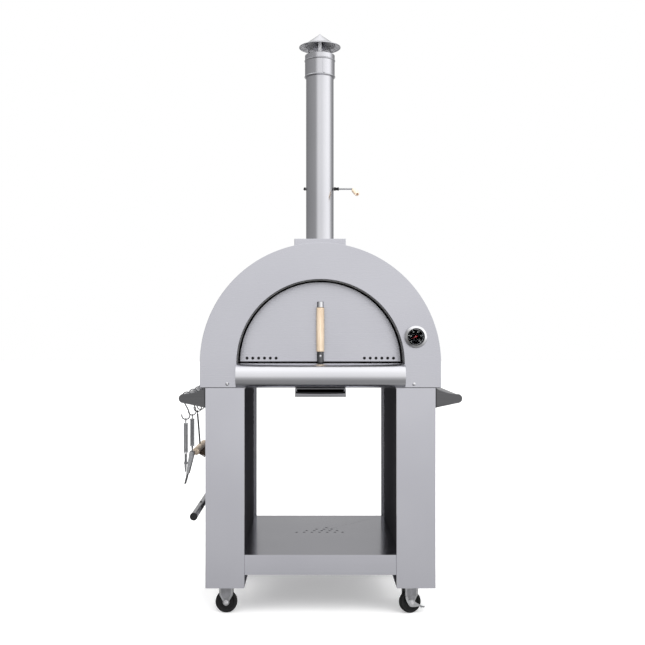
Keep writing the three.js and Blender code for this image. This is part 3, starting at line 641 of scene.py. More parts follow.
def make_lip():
    lo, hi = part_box("landing_lip")
    radius = (hi.z - lo.z) / 2
    nose, nose_z, sheet = lo.y + radius, lo.z + radius, 0.002
    back = FRONT + 0.001
    outline = [(hi.y, hi.z), *arc(nose, nose_z, radius, 90, 270, 64), (back, lo.z), (back, lo.z + sheet),
               *arc(nose, nose_z, radius - sheet, 270, 90, 64), (hi.y, hi.z - sheet)]
    body = sideways([outline], lo.x, hi.x, 0.0005)
    cheek = [(back, hi.z - 0.001), *arc(nose, nose_z, radius - 0.001, 90, 270, 48), (back, lo.z + 0.001)]
    ends = [sideways([cheek], x, x + sheet, 0.0004) for x in (lo.x + 0.0003, hi.x - sheet - 0.0003)]
    make("lip_sheet", merged(body, *ends), LIP_STEEL_PAINTED_LIGHT, "landing_lip")


def make_inside():
    dress("inner_vault", SOOTED, 0)
    dress("vault_insulation", FIBRE, 0)
    dress("floor_insulation", FIBRE, 0)
    dress("hearth_stone", STONE, 0.002)
    dress("base_pan", SHEET_X, 0)


# ---------------------------------------------------------------- door
def make_door():
    lo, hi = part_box("door_panel")
    radius = hi.x
    bottom = lo.z + 0.0052
    reach = math.degrees(math.asin((bottom - ARCH_Z) / radius))
    outline = arc(0, ARCH_Z, radius, reach, 180 - reach)
    inner = arc(0, ARCH_Z, radius - DOOR_SHEET, reach + 0.45, 179.55 - reach)
    vent_z = bottom + 0.0113
    vents = [circle(side * (DOOR_VENT_X + DOOR_VENT_STEP * step), vent_z, DOOR_VENT_R)
             for side in (-1, 1) for step in range(6)]
    face = upright([outline, *vents], lo.y, lo.y + DOOR_SHEET, 0.0004)
    rim = upright([outline, inner], lo.y + 0.0008, hi.y, 0.0004)
    feet = [rounded_box(x - 0.015, x + 0.015, lo.y + 0.011, hi.y, lo.z, bottom + 0.001, 0.0006)
            for x in (-DOOR_FOOT_X, DOOR_FOOT_X)]
    make("door_sheet", merged(face, rim), SHEET_X, "door_panel")
    # Black plates just behind the vent holes and black feet under the door: painted shade in the holes and in the
    # dark gap under the door.
    near, far, below, above = 0.146, 0.262, vent_z - 0.0085, vent_z + 0.0085
    corners = ((near, below), (far, below), (far, above), (near, above))
    vent_shade_plates = [upright([[(side * x, z) for x, z in corners]], lo.y + 0.0026, lo.y + 0.0036, 0.0003)
              for side in (-1, 1)]
    make("door_vents_and_feet_painted_shade", merged(*vent_shade_plates, *feet), BLACK, "door_panel", replace=False)


def make_door_handle():
    lo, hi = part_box("door_grip")
    centre = middle("door_grip")
    radius = (hi.x - lo.x) / 2
    height = hi.z - lo.z
    profile = [(0, 0), (radius - 0.0025, 0), (radius - 0.0007, 0.0008), (radius, 0.0025)]
    for step in range(1, 20):
        part = step / 20
        swell = 0.0006 * math.sin(HALF_TURN * part)
        profile.append((radius - 0.0006 + swell, height * part))
    profile += [(radius, height - 0.0025), (radius - 0.0007, height - 0.0008), (radius - 0.0025, height),
                (0, height)]
    grip = moved(lathe(profile, 48), Matrix.Translation((centre.x, centre.y, lo.z)))
    make("door_wood_grip", grip, WOOD_Z, "door_grip")
    for name, node, material in (("door_standoff", "door_bracket_top", CHROME),
                                 ("door_lower_bracket", "door_bracket_bottom", DARK_STEEL)):
        b_lo, b_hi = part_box(node)
        half = (b_hi.x - b_lo.x) / 2
        plan = [(-half, b_hi.y), *arc(0, centre.y, half, 180, 360, 32), (half, b_hi.y)]
        make(name, level([plan], b_lo.z, b_hi.z, 0.0014), material, node)
    b_lo, b_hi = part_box("door_bracket_bottom")
    bolt = moved(screw_heads([(0, 0, 0)], (0, 0, 1), 0.0042, 0.0022),
                 facing((0, -1, 0), (0, b_lo.y + 0.0002, b_lo.z + (b_hi.z - b_lo.z) * 0.62)))
    make("door_bracket_bolt", bolt, CHROME, "door_bracket_bottom", replace=False)


# ---------------------------------------------------------------- flue
def make_flue():
    lo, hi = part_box("flue_pipe")
    radius = (hi.x - lo.x) / 2
    bore = radius - SHEET
    pipe = lathe([(bore, lo.z), (radius, lo.z), (radius, hi.z - 0.0008), (radius - 0.0008, hi.z),
                  (bore + 0.0008, hi.z), (bore, hi.z - 0.0008), (bore, lo.z)])
    seam = rounded_box(-0.0016, 0.0016, radius - 0.0006, radius + 0.0004, lo.z + 0.13, hi.z - 0.09, 0.0003)
    make("pipe_tube", moved(merged(pipe, seam), TO_FLUE), FLUE_STEEL, "flue_pipe")

    lo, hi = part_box("flue_collar")
    outer = (hi.x - lo.x) / 2 - 0.002
    inner = outer - 0.0036
    profile = [(inner, lo.z), (outer - 0.0008, lo.z), (outer, lo.z + 0.0008)]
    for bead in (lo.z + 0.004, hi.z - 0.020):
        profile += [(outer + 0.002 * math.sin(HALF_TURN * t / 8), bead - 0.003 + 0.006 * t / 8)
                    for t in range(9)]
    profile += [(outer, hi.z - 0.0008), (outer - 0.0008, hi.z), (inner, hi.z), (inner, lo.z)]
    collar = lathe(profile)
    lap = rounded_box(outer - 0.0004, outer + 0.0019, -0.004, 0.004, lo.z + 0.0075, hi.z - 0.0235, 0.0005)
    moved(lap, Matrix.Rotation(math.radians(-75), 4, "Z"))
    make("collar_band", moved(merged(collar, lap), TO_FLUE), FLUE_STEEL, "flue_collar")
    dress("cap_spider", PALE_ZINC, 0.0004)
    dress("flue_base", SHEET_X, 0.0014)
    make_cap()


def make_cap():
    lo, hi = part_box("rain_cap")
    radius = (hi.x - lo.x) / 2
    knee = radius * 0.715
    knee_z = lo.z + 0.0115
    top = hi.z
    sheet = 0.0013
    outside = [(0, top), (0.003, top - 0.0003), (0.005, top - 0.0022), (0.0052, top - 0.0038)]
    outside += [(0.0075, top - 0.0052), (knee - 0.003, knee_z + 0.0024), (knee, knee_z + 0.0004),
                (knee + 0.004, knee_z - 0.0012), (radius - 0.0022, lo.z + 0.0036)]
    rolled = [math.radians(degree) for degree in range(80, -181, -26)]
    rim = [(radius - 0.0016 + 0.0016 * math.cos(a), lo.z + 0.0018 + 0.0018 * math.sin(a)) for a in rolled]
    under_z, under_top = knee_z - sheet, top - 0.0052 - sheet
    inside = [(radius - 0.0034, lo.z + 0.0022), (knee + 0.003, under_z - 0.0012), (knee, under_z),
              (knee - 0.003, under_z + 0.001), (0.004, under_top), (0, under_top)]
    cap = lathe([*outside, *rim, *inside])
    make("cap_cone", moved(cap, TO_FLUE), FLUE_STEEL, "rain_cap", 50)
    hem_z = under_z - 0.0016
    hem = lathe([(knee + 0.002, hem_z), (radius - 0.0036, lo.z + 0.0018), (radius - 0.0036, lo.z + 0.0022),
                 (knee + 0.002, hem_z + 0.0004), (knee + 0.002, hem_z)])
    make("cap_hem", moved(hem, TO_FLUE), PALE_ZINC, "rain_cap", 50, replace=False)
    # The cone under the rain cap takes the darker zinc: painted shade under the cap.
    peak_z = top - 0.0058 - sheet
    inside_cone = lathe([(0.006, peak_z), (knee, under_z - 0.0006), (knee, under_z - 0.0002),
                         (0.006, peak_z + 0.0004), (0.006, peak_z)])
    moved(inside_cone, TO_FLUE)
    make("cap_inside_painted_shade", inside_cone, PAINTED_SHADE_ZINC, "rain_cap", 50, replace=False)


def make_damper():
    centre = Vector(JOINTS["damper_turn"]["pos_m"])
    lo = low("damper_shaft")
    lean = Vector((0.25, -0.87, -0.42)).normalized()
    elbow = Vector((0.118, 0, 0))
    bend_start, bend_end = elbow - Vector((0.008, 0, 0)), elbow + lean * 0.008
    path = [Vector((lo.x, 0, 0)), bend_start]
    for step in range(1, 9):
        t = step / 9
        path.append(bend_start * (1 - t) ** 2 + elbow * 2 * t * (1 - t) + bend_end * t ** 2)
    path.append(elbow + lean * 0.012)
    rod = sweep([centre + point for point in path], 0.00325, 16)
    nut = lathe([(0, 0), (0.0056, 0), (0.006, 0.0006), (0.006, 0.0062), (0.0056, 0.0068), (0, 0.0068)], 6)
    moved(nut, facing((1, 0, 0), centre - Vector((0.058, 0, 0))))
    make("damper_rod", rod, ZINC, "damper_shaft", 40)
    make("damper_end_nut", nut, BLACK, "damper_shaft", 20, replace=False)
    start = elbow + lean * 0.0123
    profile = [(0, 0), (0.0060, 0), (0.0068, 0.001), (0.0083, 0.006), (0.009, 0.016), (0.009, 0.040),
               (0.0086, 0.047), (0.0070, 0.0505), (0.0045, 0.0517), (0, 0.052)]
    grip = moved(lathe(profile, 40), facing(lean, centre + start))
    make("damper_wood_grip", grip, WOOD_Y_PAINTED_LIGHT, "damper_grip", 40)
    tip = lathe([(0, 0.0515), (0.0066, 0.0494), (0.0067, 0.0502), (0.0042, 0.0519), (0, 0.052)], 40)
    moved(tip, facing(lean, centre + start))
    make("damper_grip_end", tip, END_GRAIN, "damper_grip", 60, replace=False)
    dress("damper_plate", ZINC, 0.0003)
    bush = lathe([(0.0038, 0), (0.006, 0), (0.0065, 0.0006), (0.0065, 0.005), (0.0052, 0.0062),
                  (0.0052, 0.013), (0.0062, 0.0138), (0.0062, 0.0168), (0.0056, 0.0176), (0.0038, 0.0176),
                  (0.0038, 0)], 32)
    moved(bush, facing((1, 0, 0), (high("damper_bush").x - 0.0178, centre.y, centre.z)))
    make("damper_sleeve", bush, BLACK, "damper_bush")


# ---------------------------------------------------------------- thermometer
def numeral(text, size, place):
    curve = bpy.data.curves.new("numeral", "FONT")
    curve.body = text
    curve.size = size
    curve.align_x = "CENTER"
    curve.align_y = "CENTER"
    curve.extrude = 0.00012
    mesh = curve_mesh(curve)
    return moved(mesh, Matrix.Translation(place))


def make_gauge():
    lo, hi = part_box("gauge_case")
    centre = Vector(((lo.x + hi.x) / 2, FRONT - 0.0005, (lo.z + hi.z) / 2))
    radius = (hi.x - lo.x) / 2
    lay = facing((0, -1, 0), centre)
    front = centre.y - lo.y
    dial_r = (high("gauge_dial").x - low("gauge_dial").x) / 2
    pocket = dial_r + 0.0004
    bezel = [(0, 0), (radius - 0.002, 0), (radius - 0.0006, 0.001), (radius, 0.003), (radius, front - 0.009)]
    bezel += arc(radius - 0.005, front - 0.0078, 0.005, 0, 75, 8)
    bezel += [(radius - 0.0075, front - 0.0006), (radius - 0.009, front), (pocket + 0.0012, front - 0.0042),
              (pocket, front - 0.006), (pocket, 0.008), (0, 0.008)]
    stem = lathe([(0, -0.060), (0.003, -0.060), (0.004, -0.058), (0.004, 0), (0, 0)], 24)
    make("gauge_bezel", moved(merged(lathe(bezel), stem), lay), CHROME, "gauge_case", 40)
    dress("gauge_dial", DIAL_BLACK, 0)
    marks = []
    for step in range(26):
        major = step % 5 == 0
        angle = math.radians(225 - 10.8 * step)
        length = 0.0036 if major else 0.0016
        width = 0.0005 if major else 0.00018
        end = dial_r - 0.0012
        tick = rounded_box(end - length, end, -width, width, 0.01002, 0.01016, 0.00005)
        marks.append(moved(tick, Matrix.Rotation(angle, 4, "Z")))
    for step in range(6):
        angle = math.radians(225 - 54 * step)
        reach = dial_r - 0.0082
        place = (reach * math.cos(angle), reach * math.sin(angle), 0.01014)
        marks.append(numeral(str(step * 100), 0.0040, place))
    flip = lay @ Matrix.Rotation(dial_turn(lay), 4, "Z")
    make("gauge_marks", moved(merged(*marks), flip), WHITE, "gauge_dial", replace=False)
    make_needle(flip)
    dress("gauge_lens", GLASS, 0)


def dial_turn(lay):
    """The turn that brings the dial's own up to the world's up."""
    up = lay.to_3x3().inverted() @ Vector((0, 0, 1))
    return math.atan2(up.y, up.x) - HALF_TURN / 2


def make_needle(flip):
    pointer = [(-0.006, -0.0010), (-0.0035, -0.0006), (0.0185, -0.0003), (0.0195, 0), (0.0185, 0.0003),
               (-0.0035, 0.0006), (-0.006, 0.0010)]
    blade = level([pointer], 0.0111, 0.0118, 0.0001)
    hub = lathe([(0, 0.0110), (0.0026, 0.0110), (0.003, 0.0114), (0.0028, 0.0124), (0.0016, 0.0129),
                 (0, 0.013)], 32)
    needle = moved(merged(blade, hub), flip @ Matrix.Rotation(math.radians(205), 4, "Z"))
    make("needle_pointer", needle, RED, "gauge_needle", 40)


# ---------------------------------------------------------------- cart
def make_cart():
    for node in ("leg_front_left", "leg_front_right", "leg_rear_left", "leg_rear_right"):
        dress(node, SHEET_Z, 0.0012)
    # The side panels take the painted-shade wall sheet.
    dress("side_panel_left", PAINTED_SHADE_WALL_STEEL, 0.0004)
    dress("side_panel_right", PAINTED_SHADE_WALL_STEEL, 0.0004)
    dress("storage_shelf", SHELF_STEEL, 0.003)
    make_shelf_vents()
    make_drawer()


def make_shelf_vents():
    """A short black ring in each vent of the shelf: painted shade inside the vent holes."""
    top = high("storage_shelf").z - 0.0004
    outer, depth = SHELF_VENT_R, SHELF_VENT_DEPTH
    ring = [(outer - 0.0006, -depth), (outer - 0.0001, -depth), (outer - 0.0001, 0), (outer - 0.0006, 0),
            (outer - 0.0006, -depth)]
    vent_shade_rings = []
    for column in range(-3, 4):
        for row in range(4 - abs(column)):
            place = (0.029 * column + 0.009 * row, FRONT + 0.380 + 0.028 * row, top)
            vent_shade_rings.append(moved(lathe(ring, 20), Matrix.Translation(place)))
    make("shelf_vent_painted_shade", merged(*vent_shade_rings), BLACK, "storage_shelf", replace=False)


def make_drawer():
    lo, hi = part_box("ash_drawer")
    half = hi.x
    face_y = FRONT + 0.006
    side, sheet = half - 0.0055, 0.002
    floor, rim = lo.z + 0.006, hi.z - 0.002
    walls = [(-side, side, face_y, face_y + 0.0025, floor, rim),
             (-side, side, hi.y - sheet, hi.y, floor, rim),
             (-side, side, face_y, hi.y, floor, floor + sheet),
             (-side, -side + sheet, face_y, hi.y, floor, rim),
             (side - sheet, side, face_y, hi.y, floor, rim)]
    tray = [rounded_box(*wall, 0.0005) for wall in walls]
    face = rounded_box(-half, half, face_y, face_y + 0.003, lo.z, hi.z, 0.0008)
    make("drawer_tray", merged(*tray, face), DRAWER_STEEL_PAINTED_SHADE, "ash_drawer")
    # A black plate on the drawer face above the pull bar: painted shade in the gap above the pull.
    shade = [(-half, lo.z), (half, lo.z), (half, rim), (half - 0.006, lo.z + 0.0155),
             (-half + 0.006, lo.z + 0.0155), (-half, rim)]
    pocket = upright([shade], face_y - 0.0012, face_y, 0.0003)
    make("drawer_pull_painted_shade", pocket, BLACK, "ash_drawer")
    dip, bar_top = 0.002, lo.z + 0.013
    crest = [(half * (1 - 2 * t / 24), bar_top - dip * math.sin(HALF_TURN * t / 24) ** 0.5)
             for t in range(25)]
    bar = upright([[(-half, lo.z), (half, lo.z), *crest]], lo.y, lo.y + 0.006, 0.0022)
    ends = [rounded_box(x, x + sheet, lo.y + 0.004, face_y, lo.z, rim, 0.0005)
            for x in (-half, half - sheet)]
    make("drawer_pull", merged(bar, *ends), DRAWER_STEEL_PAINTED_SHADE, "ash_drawer")


def bracket_outline(node):
    """The tapered bracket in x and z, drawn for the right side."""
    lo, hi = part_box(node)
    reach = max(abs(lo.x), abs(hi.x))
    base = min(abs(lo.x), abs(hi.x))
    tip_r = HANDLE_TIP_R
    tip = Vector((reach - tip_r, 0, HANDLE_TIP_Z))
    top = [(base, hi.z)]
    start = (base, hi.z)
    turn_in = (base + 0.032, tip.z + 0.016)
    first, last = math.degrees(-1.3), math.degrees(1.75)
    end = (tip.x + tip_r * math.cos(math.radians(last)), tip.z + tip_r * math.sin(math.radians(last)))
    for step in range(1, 16):
        t = step / 16
        top.append(tuple(s * (1 - t) ** 2 + m * 2 * t * (1 - t) + e * t ** 2
                         for s, m, e in zip(start, turn_in, end)))
    return [(base, lo.z), *arc(tip.x, tip.z, tip_r, first, last, 28), *reversed(top)], tip


def make_handles():
    for side, word in ((-1, "left"), (1, "right")):
        node = f"side_handle_{word}"
        lo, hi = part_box(node)
        outline, tip = bracket_outline(node)
        outline = [(side * x, z) for x, z in outline]
        sheet = HANDLE_SHEET
        plates = [upright([outline], y, y + sheet, 0.0006) for y in (lo.y, hi.y - sheet)]
        inner = min(abs(lo.x), abs(hi.x))
        low_x, high_x = sorted((side * inner, side * (inner + sheet)))
        tabs = [rounded_box(low_x, high_x, y, y + 0.025, lo.z, hi.z, 0.0006) for y in (lo.y, hi.y - 0.025)]
        make(f"handle_brackets_{word}", merged(*plates, *tabs), DARK_STEEL, node)
        length = hi.y - lo.y - 2 * sheet
        bar = lathe([(0, 0), (TUBE_R - 0.0005, 0), (TUBE_R, 0.0005), (TUBE_R, length - 0.0005),
                     (TUBE_R - 0.0005, length), (0, length)], 48)
        moved(bar, facing((0, 1, 0), (side * tip.x, lo.y + sheet, tip.z)))
        make(f"handle_bar_{word}", bar, BAR_CHROME, node)
        bolts = [(side * (inner + sheet), y, z)
                 for y in (lo.y + 0.016, hi.y - 0.016) for z in (0.725, 0.758)]
        heads = screw_heads(bolts, (side, 0, 0), 0.005, 0.003)
        make(f"handle_bolts_{word}", heads, CHROME, node, replace=False)


def make_rail():
    lo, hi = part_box("lower_rail")
    radius = TUBE_R
    x, z = lo.x + radius + 0.0008, (lo.z + hi.z) / 2
    length = hi.y - lo.y
    tube = lathe([(0, 0.003), (radius - 0.0004, 0.003), (radius, 0.0034), (radius, length - 0.0034),
                  (radius - 0.0004, length - 0.003), (0, length - 0.003)], 48)
    moved(tube, facing((0, 1, 0), (x, lo.y, z)))
    make("rail_tube", tube, BAR_CHROME, "lower_rail")
    cap = [(0, 0), (0.0095, 0), (0.0118, 0.0007), (0.0131, 0.0024), (0.0133, 0.005), (0.0128, 0.006),
           (0, 0.006)]
    caps = [moved(lathe(cap, 48), facing((0, 1, 0), (x, lo.y, z))),
            moved(lathe(cap, 48), facing((0, -1, 0), (x, hi.y, z)))]
    make("rail_plugs", merged(*caps), PLUG, "lower_rail")
    posts = []
    for y in (FRONT + 0.215, REAR - 0.215):
        profile = [(0, 0), (0.0085, 0), (0.0085, 0.003), (0.006, 0.004), (0.006, 0.0222), (0, 0.0222)]
        posts.append(moved(lathe(profile, 28), facing((-1, 0, 0), (hi.x, y, z))))
        posts.append(moved(screw_heads([(0, 0, 0)], (0, 0, 1), 0.0055, 0.0025),
                           facing((0, 0, 1), (x, y, z + radius - 0.0003))))
    make("rail_standoffs", merged(*posts), BLACK, "lower_rail")


# ---------------------------------------------------------------- casters
def cheek_outline(height, half):
    return [(half, height), (half, 0.026), *arc(0, 0, 0.011, 20, -200, 28), (-half, 0.026), (-half, height)]


def fork_meshes(height, web_half, web_offset, bolt_front):
    """The pressed fork about its axle, with a raised rim, and the axle bolt apart."""
    steel = []
    for y, face in ((-0.017, -1), (0.0145, 1)):
        outline = cheek_outline(height, 0.0235)
        steel.append(upright([outline], y, y + 0.0025, 0.0005))
        rim_y = y - 0.0004 if face < 0 else y + 0.0029
        path = [Vector((px * 0.93, rim_y, pz * 0.97 + 0.0006)) for px, pz in outline]
        steel.append(sweep(path, 0.0012, 8))
    steel.append(rounded_box(web_offset - web_half, web_offset + web_half, -0.017, 0.017,
                             height - 0.003, height, 0.0008))
    hexagon = [(0, 0), (0.0052, 0), (0.0057, 0.0006), (0.0057, 0.003), (0.0048, 0.0036), (0, 0.0036)]
    bolt = [moved(lathe([(0, 0), (0.004, 0), (0.004, bolt_front + 0.021), (0, bolt_front + 0.021)], 24),
                  facing((0, 1, 0), (0, -bolt_front, 0))),
            moved(lathe(hexagon, 6), facing((0, -1, 0), (0, -bolt_front, 0))),
            moved(lathe([(0, 0), (0.0072, 0), (0.0072, 0.0008), (0, 0.0008)], 28),
                  facing((0, -1, 0), (0, -bolt_front + 0.0004, 0))),
            moved(lathe(hexagon, 6), facing((0, 1, 0), (0, 0.0172, 0)))]
    return merged(*steel), merged(*bolt)


def wheel_mesh():
    w, r, corner = WHEEL_HALF, WHEEL_R, TYRE_CORNER
    hub = [(0.0044, w), (0.0095, w), (0.0105, w - 0.0006), (0.0110, w - 0.0035), (0.024, w - 0.0035),
           (0.0265, w - 0.0012), (0.0285, w - 0.0002)]
    near = [(radius, -z) for radius, z in hub]
    tread = [(r - corner, -w), *arc(r - corner, -w + corner, corner, -90, -20, 8), (r, 0.0),
             *arc(r - corner, w - corner, corner, 20, 90, 8)]
    profile = [*near, *tread, *reversed(hub), near[0]]
    return moved(lathe(profile), facing((0, 1, 0)))


def make_casters():
    for end in ("front", "rear"):
        for side in ("left", "right"):
            make_caster(end, side)


def make_caster(end, side):
    joint = JOINTS[f"wheel_{end}_{side}_roll"]
    centre = Vector(joint["pos_m"])
    axis = Vector(joint["axis"])
    turn = Matrix.Translation(centre) @ Matrix.Rotation(math.atan2(-axis.x, axis.y), 4, "Z")
    make(f"tyre_{end}_{side}", moved(wheel_mesh(), turn), RUBBER, f"wheel_{end}_{side}", 40)
    fork = f"caster_fork_{end}_{side}"
    top = high(fork).z - centre.z
    if side == "left":
        steel, bolt = fork_meshes(top - 0.003, 0.0235, 0, 0.017)
        steel = merged(steel, rounded_box(-0.042, 0.042, -0.030, 0.030, top - 0.003, top, 0.0006))
    else:
        steel, bolt = fork_meshes(top, 0.026, 0.008, 0.021)
    make(f"fork_{end}_{side}", moved(steel, turn), ZINC, fork, 40)
    make(f"axle_bolt_{end}_{side}", moved(bolt, turn), CHROME, fork, 25, replace=False)
    # A thin plate of darker zinc inside each fork cheek: painted shade in the pressed recess.
    recess = [(x * 0.72, 0.003 + z * 0.86) for x, z in cheek_outline(top, 0.0235)]
    pressed = merged(*[upright([recess], y, y + 0.0003, 0.0001) for y in (-0.0173, 0.0170)])
    make(f"fork_painted_shade_{end}_{side}", moved(pressed, turn), PAINTED_SHADE_ZINC, fork, 25, replace=False)
    if side == "right":
        dress(f"caster_plate_{end}_right", ZINC, 0.0006)
        dress(f"brake_pedal_{end}_right", ZINC, 0.0006)


# ---------------------------------------------------------------- hooks and tools
def make_hooks():
    for number in range(1, 5):
        node = f"tool_hook_{number}"
        centre = Vector(JOINTS[f"hook_{number}_swing"]["pos_m"])
        loop = arc(0, 0, HOOK_LOOP_R, -20, 200, 26)
        swing = arc(-0.004, HOOK_FOOT_Z, HOOK_FOOT_R, 15, -195, 26)
        bend = []
        start, end = Vector(loop[-1]), Vector(swing[0])
        out = Vector((math.sin(math.radians(20)), -math.cos(math.radians(20)))) * 0.03
        back = Vector((-math.sin(math.radians(15)), math.cos(math.radians(15)))) * 0.026
        for step in range(1, 16):
            t = step / 16
            bend.append(start * (1 - t) ** 3 + (start + out) * 3 * t * (1 - t) ** 2
                        + (end + back) * 3 * t ** 2 * (1 - t) + end * t ** 3)
        path = [Vector((p[0], 0, p[1])) + centre for p in [*loop, *bend, *swing]]
        wire = sweep(path, HOOK_WIRE_R, 12)
        make(f"hook_wire_{number}", wire, HOOK_STEEL, node, 50)


def hang_place(name):
    """Moves a tool drawn about its eye to where it hangs on its hook."""
    return Matrix.Translation(Vector(JOINTS[f"{name}_swing"]["pos_m"]) - Vector((0, 0, HOOK_DROP)))


def eye_mesh():
    ring = sweep([Vector((0, 0.0063 * math.cos(a), -0.0021 + 0.0063 * math.sin(a)))
                  for a in [2 * HALF_TURN * i / 28 for i in range(28)]], 0.0015, 10, True)
    neck = rounded_box(-0.0018, 0.0018, -0.0035, 0.0035, -0.0145, -0.0085, 0.0006)
    return merged(ring, neck)


def grip_meshes(width, length):
    """A flat steel grip of three ribs between two end caps."""
    top, bottom = -0.013, -0.013 - length
    half = width / 2
    rib = width / 3
    core = rounded_box(-half + 0.0012, half - 0.0012, -0.0038, 0.0038, bottom + 0.001, top - 0.001, 0.001)
    ribs = [rounded_box(-half + rib * i + 0.0006, -half + rib * (i + 1) - 0.0006, -0.005, 0.005,
                        bottom + 0.004, top - 0.004, 0.0013) for i in range(3)]
    caps = [rounded_box(-half, half, -0.005, 0.005, z, z + 0.004, 0.0012) for z in (bottom, top - 0.004)]
    return merged(*ribs, *caps), core


def make_cutter():
    place = hang_place("cutter")
    ribs, core = grip_meshes(0.015, 0.102)
    wheel_z, rim = CUTTER_WHEEL_Z, CUTTER_WHEEL_R
    tines = [rounded_box(x, x + 0.002, -0.005, 0.005, wheel_z - 0.005, -0.112, 0.0006)
             for x in (-0.004, 0.002)]
    axle = lathe([(0, 0), (0.0032, 0), (0.0036, 0.0006), (0.0036, 0.0018), (0.002, 0.0018), (0.002, 0.0112),
                  (0.0036, 0.0112), (0.0036, 0.0124), (0.0032, 0.013), (0, 0.013)], 24)
    moved(axle, facing((1, 0, 0), (-0.0065, 0, wheel_z)))
    make("cutter_grip_ribs", moved(merged(eye_mesh(), ribs, *tines, axle), place), ZINC, "cutter_handle")
    make("cutter_grip_core", moved(core, place), DARK_STEEL, "cutter_handle", replace=False)
    blade = lathe([(0.0025, -0.001), (0.028, -0.001), (rim, -0.00015), (rim, 0.00015), (0.028, 0.001),
                   (0.0025, 0.001), (0.0025, -0.001)])
    make("cutter_disc", moved(blade, place @ facing((1, 0, 0), (0, 0, wheel_z))), CHROME, "cutter_wheel")


def make_scraper():
    place = hang_place("scraper")
    ribs, core = grip_meshes(0.016, 0.100)
    neck = lathe([(0, -0.138), (0.0025, -0.138), (0.003, -0.118), (0.004, -0.113), (0, -0.112)], 20)
    holder = [(-0.008, -0.132), (-0.020, -0.213), (-0.011, -0.2145), (0.009, -0.137), (0.0055, -0.1325)]
    blade = [(-0.018, -0.210), (-0.0272, -0.2495), (-0.0232, -0.2505), (-0.013, -0.211)]
    steel = merged(eye_mesh(), ribs, neck, upright([holder], -0.022, 0.022, 0.0012))
    make("scraper_steel", moved(steel, place), ZINC, "scraper")
    dark = merged(core, upright([blade], -0.020, 0.020, 0.0006))
    make("scraper_blade", moved(dark, place), DARK_STEEL, "scraper", replace=False)


def make_brush():
    place = hang_place("brush")
    head = Vector((0.010, 0, -0.137))
    stem = sweep([Vector((0, 0, -0.0085)), head * 0.5 + Vector((0, 0, -0.002)), head], 0.003, 14)
    make("brush_stem", moved(merged(eye_mesh(), stem), place), BLACK, "oven_brush")
    r, half = BRUSH_R, BRUSH_HALF
    end = [(0, half), (r - 0.004, half), (r - 0.0012, half - 0.001), (r, half - 0.004)]
    profile = [*((radius, -y) for radius, y in end), *reversed(end)]
    block = moved(lathe(profile, 48), place @ facing((0, 1, 0), head))
    make("brush_block", block, WOOD_Y_PAINTED_LIGHT, "oven_brush", replace=False)
    tilt = Matrix.Rotation(BRUSH_LEAN, 4, "Y")
    tufts = []
    for row in BRISTLE_ROWS:
        for step in range(BRISTLE_STEPS):
            y = -0.116 + BRISTLE_PITCH * step + 0.0018 * (row % 2)
            sway = 0.0016 * math.sin(step * 2.4 + row * 1.7)
            base = Vector((row * 0.0036, y, -0.0115))
            depth = 0.0385 - 0.0008 * math.cos(step * 3.1 + row)
            tip = Vector((row * 0.0042 + sway, y + 0.5 * sway, -depth))
            tufts.append(sweep([base, (base + tip) / 2 + Vector((sway * 0.3, 0, 0)), tip], 0.0017, 5))
    bristles = moved(merged(*tufts), place @ Matrix.Translation(head) @ tilt)
    make("brush_bristles", bristles, BRISTLE, "oven_brush", 60, replace=False)


# ---------------------------------------------------------------- stage, light and camera
# Pairs of degrees and brightness. Sides run round from straight in front, to the right positive. Rise runs
# up from the ground, with 0 at the horizon. Low back multiplies what lies below the horizon, by the sides.
SIDE_LIGHT = [(-180, 0.40), (-166, 0.34), (-150, 0.26), (-80, 0.36), (-35, 0.42), (-14, 1.0), (14, 1.03),
              (45, 1.28), (72, 1.4), (88, 1.2), (108, 0.5), (145, 0.25), (166, 0.34), (180, 0.40)]
RISE_LIGHT = [(-90, 0.30), (-42, 0.32), (-17, 0.6), (-3, 1.0), (12, 1.05), (35, 1.2), (55, 1.38), (90, 1.38)]
LOW_BACK_LIGHT = [(-180, 2.0), (-120, 1.6), (-60, 1.0), (60, 1.0), (120, 1.6), (180, 2.0)]


def maths(tree, operation, *values):
    node = add_node(tree, "ShaderNodeMath", operation=operation)
    for socket, value in zip(node.inputs, values):
        if hasattr(value, "is_linked"):
            tree.links.new(value, socket)
        else:
            socket.default_value = value
    return node.outputs[0]


def level_ramp(tree, source, table, whole):
    """Turns a table of degrees and brightness into a ramp over a source that runs from 0 to 1."""
    return ramp(tree, source, [(degree / whole + 0.5, (value,) * 3) for degree, value in table])


